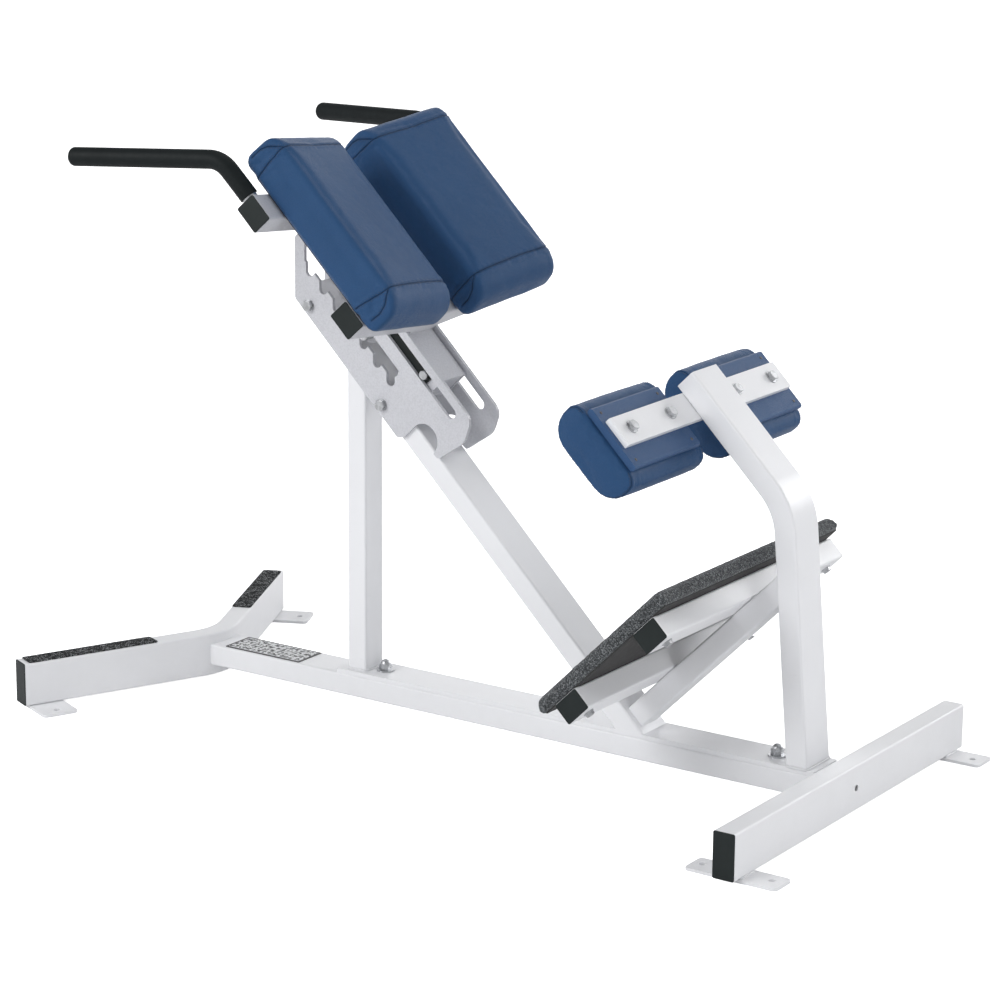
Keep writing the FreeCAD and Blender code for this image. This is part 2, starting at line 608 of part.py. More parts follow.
ncent = (CT_N0 + CT_N1) / 2
ct = tube(P(CT_S0, 0, ncent), P(CT_S1, 0, ncent), Y_DIR, 2 * CT_Y, CT_N1 - CT_N0)
SLV_R = 12.7
ct = ct.cut(cyl(P(PIVOT_S, -60, piv_n), P(PIVOT_S, 60, piv_n), SLV_R))
emit("carriage_tube", ct)
slv = cyl(P(PIVOT_S, -CT_Y, piv_n), P(PIVOT_S, CT_Y, piv_n), SLV_R).cut(
    cyl(P(PIVOT_S, -CT_Y - 1, piv_n), P(PIVOT_S, CT_Y + 1, piv_n), PIN_R + 0.05))
emit("slide_pin_sleeve", slv)
ends = []
for s_, sg in ((CT_S0, -1), (CT_S1, 1)):
    o_ = S_DIR * sg
    a = rect_bar(P(s_, 0, ncent) - o_ * 6.0, P(s_, 0, ncent) - o_ * 2.0, Y_DIR,
                 2 * CT_Y - 2 * WALL, CT_N1 - CT_N0 - 2 * WALL, 1.0)
    ends.append(a)
emit("carriage_end_plates", ends)
ws0 = slab([(P(-1330.0, -CT_Y - 2.7, -148.0), 3), (P(-985.0, -CT_Y - 2.7, -148.0), 3),
            (P(-985.0, -CT_Y - 2.7, -123.0), 3), (P(-1330.0, -CT_Y - 2.7, -123.0), 3)],
           V(0, 2.7, 0))
ws0 = ws0.cut(cyl(P(PIVOT_S, -60, piv_n), P(PIVOT_S, -20, piv_n), PIN_R + 0.6))
emit("carriage_wear_strips", [ws0, mirror(ws0)])
lug = slab([(P(LOCK_S - 17, -29, CT_N0), 0), (P(LOCK_S - 17, -29, CT_N0 - 17), 10),
            (P(LOCK_S - 6, -29, CT_N0 - 27), 6), (P(LOCK_S + 6, -29, CT_N0 - 27), 6),
            (P(LOCK_S + 17, -29, CT_N0 - 17), 10), (P(LOCK_S + 17, -29, CT_N0), 0)], V(0, 58, 0))
lug = lug.cut(cyl(P(LOCK_S, -60, LOCK_N), P(LOCK_S, 60, LOCK_N), PIN_R))
emit("lock_pin_lug", lug)
LOCK_HALF = SP_Y + SP_T + 6.0


def cham_pin(s, half, n, r, c=1.0):
    a = cyl(P(s, -half, n), P(s, half, n), r)
    ed = [e for e in a.Edges if e.Curve.TypeId == "Part::GeomCircle"]
    return a.makeChamfer(c, ed)


emit("lock_pin", cham_pin(LOCK_S, LOCK_HALF, LOCK_N, PIN_R))
emit("slide_pin", cham_pin(PIVOT_S, SP_Y + SP_T + 1.0, piv_n, PIN_R))

ct_, st_ = math.cos(TILT), math.sin(TILT)


def T(s, u, w):
    """Left pad frame: u outward along the tilted pad base, w its normal."""
    ay = PAD_Y0 + u * ct_ - w * st_
    n = PAD_N0 + u * st_ + w * ct_
    return P(s, -ay, n)


U_DIR = (T(0, 1, 0) - T(0, 0, 0)).normalize()
W_DIR = (T(0, 0, 1) - T(0, 0, 0)).normalize()
wc = -BOARD_T - XT_W / 2
left_half = Part.makeBox(4000, 900, 3000, V(-2000, -900, -500))
right_half = Part.makeBox(4000, 900, 3000, V(-2000, 0, -500))
caps, plist = [], {}
for nm, s_, ue in (("upper_cross_tube", XT_UP_S, XT_UP_U), ("lower_cross_tube", XT_LO_S, XT_LO_U)):
    L = tube(T(s_, -80, wc), T(s_, ue, wc), S_DIR, XT_S, XT_W).common(left_half)
    for ub in (60.0, 170.0):
        L = L.cut(cyl(T(s_, ub, -BOARD_T + 1), T(s_, ub, -BOARD_T - XT_W - 1), 4.0))
    full = L.fuse(mirror(L)).removeSplitter()
    emit(nm, full)
    c_ = plug(T(s_, ue, wc), U_DIR, S_DIR, XT_S, XT_W)
    caps += [c_, mirror(c_)]
emit("cross_tube_end_caps", caps)
sad = []
# saddle blocks under the two cross tubes
wb = -BOARD_T - XT_W
u0 = (-PAD_Y0 + wb * st_) / ct_
n_mid = PAD_N0 + u0 * st_ + wb * ct_
n_edge = n_mid + CT_Y * math.tan(TILT)
for s_ in (XT_UP_S, XT_LO_S):
    sad.append(slab([(P(s_ - 22, -CT_Y, CT_N1), 0), (P(s_ - 22, CT_Y, CT_N1), 0),
                     (P(s_ - 22, CT_Y, n_edge), 0), (P(s_ - 22, 0, n_mid), 0),
                     (P(s_ - 22, -CT_Y, n_edge), 0)], S_DIR * 44))
emit("cross_tube_saddles", sad)

# pad boards and pads
bd = slab([(T(PAD_S0 + 26, 8, -BOARD_T), 12), (T(PAD_S1 - 22, 8, -BOARD_T), 12),
           (T(PAD_S1 - 22, 203, -BOARD_T), 12), (T(PAD_S0 + 26, 203, -BOARD_T), 12)],
          W_DIR * BOARD_T)
PB = [(XT_UP_S, 60.0), (XT_UP_S, 170.0), (XT_LO_S, 60.0), (XT_LO_S, 170.0)]
for s_, ub in PB:
    bd = bd.cut(cyl(T(s_, ub, -BOARD_T - 1), T(s_, ub, -2.0), 4.0))
emit("thigh_pad_board_left", bd)
emit("thigh_pad_board_right", mirror(bd))
body = slab([(T(PAD_S0, PAD_U0 - 12, -PAD_SKIRT), 16), (T(PAD_S0, PAD_U0 - 12, PAD_H), 36),
             (T(PAD_S1, PAD_U0 - 12, PAD_H), 38), (T(PAD_S1, PAD_U0 - 12, -PAD_SKIRT), 16)],
            U_DIR * 260)
sec = slab([(T(PAD_S0 - 20, PAD_U0, -PAD_SKIRT), 5), (T(PAD_S0 - 20, PAD_U0T, PAD_H), 12),
            (T(PAD_S0 - 20, PAD_U1T, PAD_H), 10), (T(PAD_S0 - 20, PAD_U1B, -PAD_SKIRT), 5)],
           S_DIR * 420)
pocket = slab([(T(PAD_S0 + 25.7, 7.7, -BOARD_T - 2), 12), (T(PAD_S1 - 21.7, 7.7, -BOARD_T - 2), 12),
               (T(PAD_S1 - 21.7, 203.3, -BOARD_T - 2), 12), (T(PAD_S0 + 25.7, 203.3, -BOARD_T - 2), 12)],
              W_DIR * (BOARD_T + 2))
pad = body.common(sec).cut(pocket)
emit("thigh_pad_left", pad)
emit("thigh_pad_right", mirror(pad))
bl = []
for s_, ub in PB:
    b = cyl(T(s_, ub, -2.0), T(s_, ub, -BOARD_T - XT_W - 1.6), 4.0)
    b = b.fuse(cyl(T(s_, ub, -BOARD_T - XT_W), T(s_, ub, -BOARD_T - XT_W - 1.6), 9.0))
    b = b.fuse(hexa(T(s_, ub, -BOARD_T - XT_W - 1.6), W_DIR * -1, 13.0, 5.4)).removeSplitter()
    bl += [b, mirror(b)]
emit("thigh_pad_bolts", bl)

# handles: bent tube with a moulded grip over its whole visible length
A = T(XT_UP_S - XT_S / 2, 225.0, wc)
B = Q(-1030.0, -279.3, 974.0)
E = Q(-1298.0, -336.3, 961.1)
HB_R = 44.0


def bent_rod(a, b, e, rr, r_end):
    ua = (a - b).normalize()
    ue = (e - b).normalize()
    ang = ua.getAngle(ue)
    tl = HB_R / math.tan(ang / 2)
    ta, te = b + ua * tl, b + ue * tl
    bis = (ua + ue).normalize()
    c = b + bis * (HB_R / math.sin(ang / 2))
    mid = c - bis * HB_R
    w = Part.Wire([Part.LineSegment(a, ta).toShape(), Part.Arc(ta, mid, te).toShape(),
                   Part.LineSegment(te, e).toShape()])
    circ = Part.Wire([Part.Circle(a, ua * -1, rr).toShape()])
    sol = w.makePipeShell([circ], True, False)
    return sol


hax = (A - B).normalize()
he = (E - B).normalize()
core = bent_rod(A + hax * 30, B, E - he * 14.0, HT_R, 0)
cutter = rect_bar(T(XT_UP_S, 100, wc), T(XT_UP_S, 270, wc), S_DIR, XT_S, XT_W, RC)
core = core.cut(cutter)
core = max(core.Solids, key=lambda q: q.BoundBox.ZMax)
grip = bent_rod(A - hax * 9.0, B, E, GRIP_R, 0)
gend = [e for e in grip.Edges if e.Curve.TypeId == "Part::GeomCircle"
        and (e.Curve.Center - E).Length < 0.5]
grip = grip.makeFillet(10.0, gend)
grip = grip.cut(bent_rod(A + hax * 40, B, E - he * 14.0, HT_R, 0))
grip = grip.cut(cutter)
grip = max(grip.Solids, key=lambda q: q.Volume)
emit("handle_tube_left", core)
emit("handle_tube_right", mirror(core))
emit("handle_grip_left", grip)
emit("handle_grip_right", mirror(grip))

print("pivot", P(PIVOT_S, 0, piv_n), "slide dir", S_DIR)
print("rear holes", [(round(Q(h, 0, 0).x, 2), RCM_HOLE_Y) for h in RCM_HOLES_X])
print("yoke hole", YOKE_HOLE)
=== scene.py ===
import json
import math

import bmesh
import bpy
import numpy as np
from mathutils import Matrix, Vector, kdtree, noise
from mathutils.bvhtree import BVHTree
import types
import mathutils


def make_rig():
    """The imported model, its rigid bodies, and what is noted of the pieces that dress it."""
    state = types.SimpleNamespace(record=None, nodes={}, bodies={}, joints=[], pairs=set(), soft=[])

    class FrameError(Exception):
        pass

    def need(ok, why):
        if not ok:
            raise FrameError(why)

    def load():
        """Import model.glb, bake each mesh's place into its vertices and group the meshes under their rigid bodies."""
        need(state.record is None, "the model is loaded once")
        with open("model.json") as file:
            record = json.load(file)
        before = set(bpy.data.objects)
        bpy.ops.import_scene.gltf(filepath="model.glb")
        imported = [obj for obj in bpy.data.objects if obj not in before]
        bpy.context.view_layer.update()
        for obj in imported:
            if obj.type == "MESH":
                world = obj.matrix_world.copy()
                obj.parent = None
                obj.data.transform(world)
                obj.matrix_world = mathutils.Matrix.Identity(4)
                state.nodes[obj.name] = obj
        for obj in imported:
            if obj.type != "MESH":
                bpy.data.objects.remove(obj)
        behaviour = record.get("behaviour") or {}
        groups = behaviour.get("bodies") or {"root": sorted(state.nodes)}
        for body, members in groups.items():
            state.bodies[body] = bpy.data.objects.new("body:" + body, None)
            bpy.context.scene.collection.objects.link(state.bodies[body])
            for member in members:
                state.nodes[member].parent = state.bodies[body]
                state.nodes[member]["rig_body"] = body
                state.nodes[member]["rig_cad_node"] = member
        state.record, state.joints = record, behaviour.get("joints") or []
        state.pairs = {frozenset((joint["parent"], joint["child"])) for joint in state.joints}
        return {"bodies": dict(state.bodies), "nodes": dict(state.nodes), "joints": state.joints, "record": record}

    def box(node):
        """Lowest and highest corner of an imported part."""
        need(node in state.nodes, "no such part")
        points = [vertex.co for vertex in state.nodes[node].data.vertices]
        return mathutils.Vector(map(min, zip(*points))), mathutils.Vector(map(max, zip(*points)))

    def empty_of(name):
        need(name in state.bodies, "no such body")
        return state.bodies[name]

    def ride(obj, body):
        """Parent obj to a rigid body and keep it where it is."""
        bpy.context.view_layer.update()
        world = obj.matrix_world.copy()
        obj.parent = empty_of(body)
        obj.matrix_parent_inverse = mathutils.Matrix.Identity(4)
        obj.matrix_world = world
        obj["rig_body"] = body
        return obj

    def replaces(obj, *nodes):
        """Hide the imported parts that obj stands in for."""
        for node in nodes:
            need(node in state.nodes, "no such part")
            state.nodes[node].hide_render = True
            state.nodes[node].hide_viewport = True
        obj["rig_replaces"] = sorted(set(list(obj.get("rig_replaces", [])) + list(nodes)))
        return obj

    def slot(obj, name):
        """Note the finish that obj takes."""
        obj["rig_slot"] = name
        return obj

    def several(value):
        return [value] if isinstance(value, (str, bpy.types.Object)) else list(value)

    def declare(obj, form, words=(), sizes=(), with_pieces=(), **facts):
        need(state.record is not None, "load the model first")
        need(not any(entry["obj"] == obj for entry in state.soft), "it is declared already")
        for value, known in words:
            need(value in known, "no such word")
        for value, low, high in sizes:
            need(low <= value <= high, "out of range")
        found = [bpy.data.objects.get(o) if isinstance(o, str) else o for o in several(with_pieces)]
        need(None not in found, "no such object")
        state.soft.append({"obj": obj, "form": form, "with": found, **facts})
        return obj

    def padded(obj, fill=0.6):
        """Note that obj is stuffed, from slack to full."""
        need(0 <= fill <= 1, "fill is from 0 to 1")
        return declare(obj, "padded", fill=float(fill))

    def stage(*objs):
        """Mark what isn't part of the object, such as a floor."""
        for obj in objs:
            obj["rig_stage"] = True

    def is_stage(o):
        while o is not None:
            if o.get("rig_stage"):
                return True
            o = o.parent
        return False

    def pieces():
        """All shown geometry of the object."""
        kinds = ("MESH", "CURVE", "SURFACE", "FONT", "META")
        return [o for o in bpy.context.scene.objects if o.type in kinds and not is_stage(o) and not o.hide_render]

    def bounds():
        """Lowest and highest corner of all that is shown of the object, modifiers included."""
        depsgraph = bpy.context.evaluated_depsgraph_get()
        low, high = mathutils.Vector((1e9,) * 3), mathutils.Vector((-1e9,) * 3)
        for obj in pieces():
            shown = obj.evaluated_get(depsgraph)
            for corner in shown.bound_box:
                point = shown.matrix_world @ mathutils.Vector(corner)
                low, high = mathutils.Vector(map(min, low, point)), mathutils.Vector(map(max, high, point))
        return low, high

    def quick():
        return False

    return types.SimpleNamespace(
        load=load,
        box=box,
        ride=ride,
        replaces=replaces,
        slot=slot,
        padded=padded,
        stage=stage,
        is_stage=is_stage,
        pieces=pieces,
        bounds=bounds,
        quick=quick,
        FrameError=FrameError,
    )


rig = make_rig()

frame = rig.load()
CAD_LO, CAD_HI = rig.bounds()
scene = bpy.context.scene
R2 = math.sqrt(2.0)
X_OFF = 0.691
TAU = math.radians(9.5)


# ---------------------------------------------------------------- coordinates
def incline(s, y, n):
    """Metres along the 45 degree incline: s down the slope, n square to it."""
    return np.stack([(s + n) / R2 + X_OFF, y, (n - s) / R2], -1)


def thigh_map(c, side):
    """Thigh pad frame (s, u outward, w out of the board) to the row frame."""
    s, u, w = c[:, 0], c[:, 1], c[:, 2]
    ay = 0.039 + u * math.cos(TAU) - w * math.sin(TAU)
    n = -0.056 + u * math.sin(TAU) + w * math.cos(TAU)
    return incline(s, side * ay, n)


def leg_map(c, side):
    return incline(c[:, 0], side * c[:, 1], c[:, 2])


# ------------------------------------------------------------------ materials
class Nodes:
    def __init__(self, name):
        self.m = bpy.data.materials.new(name)
        self.m.use_nodes = True
        self.t = self.m.node_tree
        self.b = self.t.nodes["Principled BSDF"]
        self.coord = self.t.nodes.new("ShaderNodeTexCoord").outputs["Object"]

    def link(self, a, b):
        self.t.links.new(a, b)
        return self

    def new(self, kind, **kw):
        n = self.t.nodes.new(kind)
        for k, v in kw.items():
            setattr(n, k, v)
        return n

    def noise(self, scale, detail=3.0, rough=0.55, stretch=None):
        n = self.new("ShaderNodeTexNoise")
        n.inputs["Scale"].default_value = scale
        n.inputs["Detail"].default_value = detail
        n.inputs["Roughness"].default_value = rough
        src = self.coord
        if stretch:
            mp = self.new("ShaderNodeMapping")
            mp.inputs["Scale"].default_value = stretch
            self.link(self.coord, mp.inputs["Vector"])
            src = mp.outputs["Vector"]
        self.link(src, n.inputs["Vector"])
        return n.outputs["Fac"]

    def voronoi(self, scale, feature="F1", out="Distance", rnd=1.0):
        n = self.new("ShaderNodeTexVoronoi", feature=feature)
        n.inputs["Scale"].default_value = scale
        n.inputs["Randomness"].default_value = rnd
        self.link(self.coord, n.inputs["Vector"])
        return n.outputs[out]

    def ramp(self, fac, stops):
        n = self.new("ShaderNodeValToRGB")
        e = n.color_ramp.elements
        while len(e) < len(stops):
            e.new(0.5)
        for el, (p, c) in zip(e, stops):
            el.position = p
            el.color = tuple(c) + (1.0,) if len(c) == 3 else c
        self.link(fac, n.inputs["Fac"])
        return n.outputs["Color"]

    def mix(self, fac, a, b, blend="MIX"):
        n = self.new("ShaderNodeMix", data_type="RGBA", blend_type=blend)
        for sock, val in ((n.inputs["Factor"], fac), (n.inputs["A"], a), (n.inputs["B"], b)):
            if hasattr(val, "links"):
                self.link(val, sock)
            elif isinstance(val, (int, float)):
                sock.default_value = val
            else:
                sock.default_value = tuple(val) + (1.0,)
        return n.outputs["Result"]

    def math(self, op, a, b=0.0, c=None, clamp=False):
        n = self.new("ShaderNodeMath", operation=op, use_clamp=clamp)
        vals = (a, b) if c is None else (a, b, c)
        for i, v in enumerate(vals):
            if hasattr(v, "links"):
                self.link(v, n.inputs[i])
            else:
                n.inputs[i].default_value = v
        return n.outputs[0]

    def xyz(self):
        n = self.new("ShaderNodeSeparateXYZ")
        self.link(self.coord, n.inputs[0])
        return n.outputs["X"], n.outputs["Y"], n.outputs["Z"]

    def color(self, sock):
        self.link(sock, self.b.inputs["Base Color"])
        return self

    def rough(self, fac, lo, hi):
        n = self.new("ShaderNodeMapRange")
        n.inputs["To Min"].default_value = lo
        n.inputs["To Max"].default_value = hi
        self.link(fac, n.inputs["Value"])
        self.link(n.outputs["Result"], self.b.inputs["Roughness"])
        return self

    def bump(self, layers):
        """layers: (height socket, distance in metres), finest last."""
        prev = None
        for h, dist in layers:
            n = self.new("ShaderNodeBump")
            n.inputs["Strength"].default_value = 1.0
            n.inputs["Distance"].default_value = dist
            self.link(h, n.inputs["Height"])
            if prev is not None:
                self.link(prev, n.inputs["Normal"])
            prev = n.outputs["Normal"]
        self.link(prev, self.b.inputs["Normal"])
        return self

    def const(self, **kw):
        for k, v in kw.items():
            self.b.inputs[k.replace("_", " ")].default_value = v
        return self


def powder_coat(name, light, dark, peel=0.00008, mottle=0.0):
    k = Nodes(name)
    big = k.noise(3.2, 3, 0.5)
    fine = k.noise(950, 2, 0.6)
    x, y, z = k.xyz()
    base = k.mix(k.math("MULTIPLY", big, 0.55), light, dark)
    if mottle:
        fleck = k.math("MULTIPLY", k.math("SUBTRACT", k.noise(330, 4, 0.75), 0.42, clamp=True), 4.0, clamp=True)
        base = k.mix(k.math("MULTIPLY", fleck, mottle), base, [0.62 * v for v in dark])
    # scuffs: thin short streaks, denser low down
    streak = k.noise(34, 5, 0.75, stretch=(1.0, 1.0, 5.0))
    scuff = k.math("MULTIPLY", k.math("SUBTRACT", streak, 0.64, clamp=True), 3.2, clamp=True)
    low = k.math("SUBTRACT", 1.0, k.math("MULTIPLY", z, 5.5), clamp=True)
    grime = k.math("MULTIPLY", k.math("MULTIPLY_ADD", low, 0.55, 0.12), k.noise(19, 6, 0.7))
    c = k.mix(k.math("MULTIPLY", scuff, 0.35), base, [0.60 * v for v in dark])
    c = k.mix(k.math("MULTIPLY", grime, 0.30), c, (0.50, 0.49, 0.47))
    k.color(c)
    k.rough(k.noise(60, 4, 0.6), 0.30, 0.44)
    k.bump([(k.noise(160, 2, 0.5), 0.00012), (fine, peel)])
    k.const(Coat_Weight=0.12, Coat_Roughness=0.22)
    return k.m


def vinyl(name, light, dark, seam_painted_shade, rough=(0.36, 0.50)):
    k = Nodes(name)
    blotch = k.noise(7.5, 4, 0.6)
    c = k.mix(blotch, dark, light)
    grain = k.voronoi(760, "DISTANCE_TO_EDGE")
    pores = k.math("MULTIPLY", k.math("SUBTRACT", 0.16, grain, clamp=True), 3.2, clamp=True)
    c = k.mix(k.math("MULTIPLY", pores, 0.55), c, [v * 0.55 for v in dark])
    # painted shade: the seam weight darkens the vinyl towards seam_painted_shade along the pressed-in seam grooves
    at = k.new("ShaderNodeAttribute", attribute_name="seam")
    c = k.mix(k.math("MULTIPLY", at.outputs["Fac"], 0.62, clamp=True), c, seam_painted_shade)
    k.color(c)
    k.rough(k.math("ADD", k.math("MULTIPLY", k.noise(120, 3, 0.6), 0.5), k.math("MULTIPLY", blotch, 0.5)), *rough)
    cells = k.math("MULTIPLY", k.math("MINIMUM", grain, 0.22), 4.5)
    k.bump([(k.noise(26, 3, 0.55), 0.0011), (k.noise(260, 3, 0.6), 0.00022), (cells, 0.00016)])
    k.const(Sheen_Weight=0.04, Sheen_Roughness=0.45, Specular_IOR_Level=0.17)
    return k.m


def carpet_mat(name):
    k = Nodes(name)
    loops = k.voronoi(560, "F1", "Distance")
    shade = k.new("ShaderNodeTexVoronoi")
    shade.inputs["Scale"].default_value = 560
    k.link(k.coord, shade.inputs["Vector"])
    sep = k.new("ShaderNodeSeparateColor")
    k.link(shade.outputs["Color"], sep.inputs[0])
    yarn = k.ramp(sep.outputs[0], [(0.0, (0.016, 0.019, 0.021)), (0.30, (0.045, 0.052, 0.057)),
                                   (0.60, (0.130, 0.143, 0.152)), (1.0, (0.42, 0.44, 0.46))])
    patch = k.noise(46, 4, 0.65)
    c = k.mix(k.math("MULTIPLY", patch, 0.45), yarn, (0.035, 0.040, 0.045))
    # painted shade: the gaps between the yarn loops, where the pile is deepest, are darkened almost to black
    pile_gap_shade = k.math("MULTIPLY", loops, 1.5, clamp=True)
    c = k.mix(k.math("MULTIPLY", pile_gap_shade, 0.55), c, (0.006, 0.007, 0.008))
    k.color(c)
    k.rough(patch, 0.86, 1.0)
    k.bump([(k.noise(150, 3, 0.6), 0.0008), (k.math("SUBTRACT", 1.0, loops), 0.0011), (k.noise(1500, 2, 0.5), 0.0003)])
    k.const(Sheen_Weight=0.22, Sheen_Roughness=0.6, Specular_IOR_Level=0.2)
    return k.m


def black_poly(name, a, b, rough, grain_scale, depth, gritty=False):
    k = Nodes(name)
    n = k.noise(grain_scale, 3, 0.6)
    c = k.mix(k.noise(22, 4, 0.6), a, b)
    if gritty:
        # light specks on the grit in worn patches: partly wear, partly painted sparkle highlights
        spark = k.voronoi(480, "F1", "Distance")
        grit_glint_specks = k.math("LESS_THAN", spark, 0.36)
        wear_and_glint_patches = k.math("MULTIPLY", k.math("SUBTRACT", k.noise(95, 3, 0.7), 0.41, clamp=True), 8.0, clamp=True)
        c = k.mix(k.math("MULTIPLY", grit_glint_specks, wear_and_glint_patches), c, (0.42, 0.43, 0.44))
        k.color(c)
        k.rough(n, *rough)
        k.bump([(k.noise(150, 2, 0.5), 0.0009), (k.math("SUBTRACT", 1.0, spark), depth)])
    else:
        k.color(c)
        k.rough(k.noise(90, 4, 0.65), *rough)
        k.bump([(k.noise(45, 2, 0.5), 0.00015), (n, depth)])
    k.const(Specular_IOR_Level=0.20)
    return k.m


def zinc(name, a=(0.46, 0.47, 0.48), b=(0.66, 0.67, 0.69)):
    k = Nodes(name)
    spangle = k.voronoi(170, "F1", "Color")
    sep = k.new("ShaderNodeSeparateColor")
    k.link(spangle, sep.inputs[0])
    c = k.mix(sep.outputs[1], a, b)
    c = k.mix(k.math("MULTIPLY", k.noise(60, 5, 0.7), 0.35), c, (0.30, 0.30, 0.31))
    k.color(c)
    k.rough(k.noise(140, 4, 0.6), 0.24, 0.46)
    k.bump([(k.noise(420, 2, 0.5, stretch=(1, 1, 0.15)), 0.00006)])
    k.const(Metallic=1.0)
    return k.m


def plywood(name, a, b, ply=False):
    k = Nodes(name)
    fig = k.noise(16, 6, 0.7, stretch=(1.0, 0.16, 1.0))
    c = k.mix(fig, a, b)
    k.color(c)
    k.rough(k.noise(80, 4, 0.6), 0.62, 0.84)
    k.bump([(k.noise(140, 4, 0.7, stretch=(1.0, 0.12, 1.0)), 0.00025), (k.noise(900, 2, 0.5), 0.00008)])
    return k.m


def plate_print(name, box):
    """A dark plate with a border and rows of blank light panels."""
    k = Nodes(name)
    x, y, z = k.xyz()
    (x0, y0, _), (x1, y1, _) = box
    cx, cy, hx, hy = (x0 + x1) / 2, (y0 + y1) / 2, (x1 - x0) / 2, (y1 - y0) / 2
    ex = k.math("SUBTRACT", hx, k.math("ABSOLUTE", k.math("SUBTRACT", x, cx)))
    ey = k.math("SUBTRACT", hy, k.math("ABSOLUTE", k.math("SUBTRACT", y, cy)))
    edge = k.math("MINIMUM", ex, ey)
    inside = k.math("GREATER_THAN", edge, 0.0040)
    br = k.new("ShaderNodeTexBrick")
    br.offset = 0.37
    br.inputs["Scale"].default_value = 1.0
    br.inputs["Color1"].default_value = (0.72, 0.73, 0.74, 1)
    br.inputs["Color2"].default_value = (0.010, 0.011, 0.013, 1)
    br.inputs["Mortar"].default_value = (0.74, 0.75, 0.76, 1)
    br.inputs["Mortar Size"].default_value = 0.0016
    br.inputs["Mortar Smooth"].default_value = 0.05
    br.inputs["Bias"].default_value = 0.1
    br.inputs["Brick Width"].default_value = 0.0300
    br.inputs["Row Height"].default_value = 0.0145
    k.link(k.coord, br.inputs["Vector"])
    blot = k.math("GREATER_THAN", k.noise(190, 2, 0.5, stretch=(0.8, 1.0, 1.0)), 0.485)
    c_in = k.mix(blot, (0.74, 0.75, 0.76), (0.008, 0.009, 0.011))
    c_in = k.mix(br.outputs["Fac"], c_in, (0.74, 0.75, 0.76))
    c = k.mix(inside, (0.008, 0.009, 0.010), c_in)
    c = k.mix(k.math("MULTIPLY", k.noise(90, 4, 0.6), 0.18), c, (0.30, 0.30, 0.31))
    k.color(c)
    k.rough(k.noise(70, 4, 0.6), 0.34, 0.52)
    k.bump([(k.noise(500, 2, 0.5), 0.00005)])
    return k.m


M = {
    "frame_powder_coat": powder_coat("frame_powder_coat", (0.86, 0.865, 0.885), (0.79, 0.795, 0.82)),
    "plate_powder_coat": powder_coat("plate_powder_coat", (0.64, 0.645, 0.68), (0.54, 0.545, 0.58), 0.00012, 0.30),
    "black_plastic": black_poly("black_plastic", (0.010, 0.014, 0.014), (0.020, 0.026, 0.026), (0.34, 0.50), 620, 0.00010),
    "grip_tape": black_poly("grip_tape", (0.004, 0.005, 0.006), (0.012, 0.014, 0.015), (0.72, 0.95), 900, 0.00045, True),
    "grip_rubber": black_poly("grip_rubber", (0.003, 0.005, 0.0055), (0.008, 0.012, 0.013), (0.48, 0.68), 520, 0.00016),
    "wear_plastic": black_poly("wear_plastic", (0.010, 0.012, 0.012), (0.018, 0.022, 0.022), (0.28, 0.42), 300, 0.00006),
    "zinc_steel": zinc("zinc_steel"),
    "dark_steel": zinc("dark_steel", (0.05, 0.052, 0.055), (0.10, 0.104, 0.11)),
    "blue_vinyl": vinyl("blue_vinyl", (0.0265, 0.087, 0.210), (0.0180, 0.064, 0.163), (0.002, 0.006, 0.018)),
    "board_vinyl": vinyl("board_vinyl", (0.048, 0.110, 0.245), (0.032, 0.084, 0.200), (0.006, 0.014, 0.038), (0.30, 0.46)),
    "pad_board": plywood("pad_board", (0.012, 0.013, 0.015), (0.030, 0.031, 0.034)),
    "platform_board": plywood("platform_board", (0.018, 0.018, 0.018), (0.036, 0.035, 0.034)),
    "platform_carpet": carpet_mat("platform_carpet"),
    "info_plate": plate_print("info_plate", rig.box("base_info_plate")),
}
weld_mat = powder_coat("weld_powder_coat", (0.80, 0.805, 0.825), (0.68, 0.685, 0.71), 0.00018)


def thread_mat():
    k = Nodes("seam_thread")
    c = k.mix(k.noise(900, 3, 0.6), (0.010, 0.024, 0.066), (0.050, 0.092, 0.180))
    k.color(c)
    k.rough(k.noise(400, 2, 0.5), 0.5, 0.75)
    k.bump([(k.noise(2600, 2, 0.5, stretch=(1, 3, 1)), 0.0001)])
    return k.m


thread = thread_mat()
SLOT_OF = {r["node"]: r["material_slot"] for r in frame["record"]["subparts"]}
for node, ob in frame["nodes"].items():
    ob.data.materials.clear()
    ob.data.materials.append(M[SLOT_OF[node]])


# ------------------------------------------------------------- mesh utilities
def mesh_object(name, verts, faces, mat, body, slot, smooth=True):
    me = bpy.data.meshes.new(name)
    me.from_pydata([tuple(map(float, v)) for v in verts], [], [tuple(int(i) for i in f) for f in faces])
    me.update()
    if smooth:
        me.polygons.foreach_set("use_smooth", [True] * len(me.polygons))
    ob = bpy.data.objects.new(name, me)
    scene.collection.objects.link(ob)
    me.materials.append(mat)
    if body:
        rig.ride(ob, body)
    if slot:
        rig.slot(ob, slot)
    return ob


def swept_hull(name, centres, r, sub=3):
    """Convex skin round spheres of radius r at the given centres."""
    bm = bmesh.new()
    ico = bmesh.new()
    bmesh.ops.create_icosphere(ico, subdivisions=sub, radius=1.0)
    dirs = np.array([v.co[:] for v in ico.verts])
    ico.free()
    for c in centres:
        for p in dirs * r + np.array(c)[None]:
            bm.verts.new(p)
    res = bmesh.ops.convex_hull(bm, input=bm.verts[:])
    dead = [g for g in set(res["geom_interior"]) | set(res["geom_unused"]) if isinstance(g, bmesh.types.BMVert)]
    bmesh.ops.delete(bm, geom=dead, context="VERTS")
    bmesh.ops.remove_doubles(bm, verts=bm.verts[:], dist=1e-6)
    me = bpy.data.meshes.new(name)
    bm.to_mesh(me)
    bm.free()
    ob = bpy.data.objects.new(name, me)
    scene.collection.objects.link(ob)
    return ob


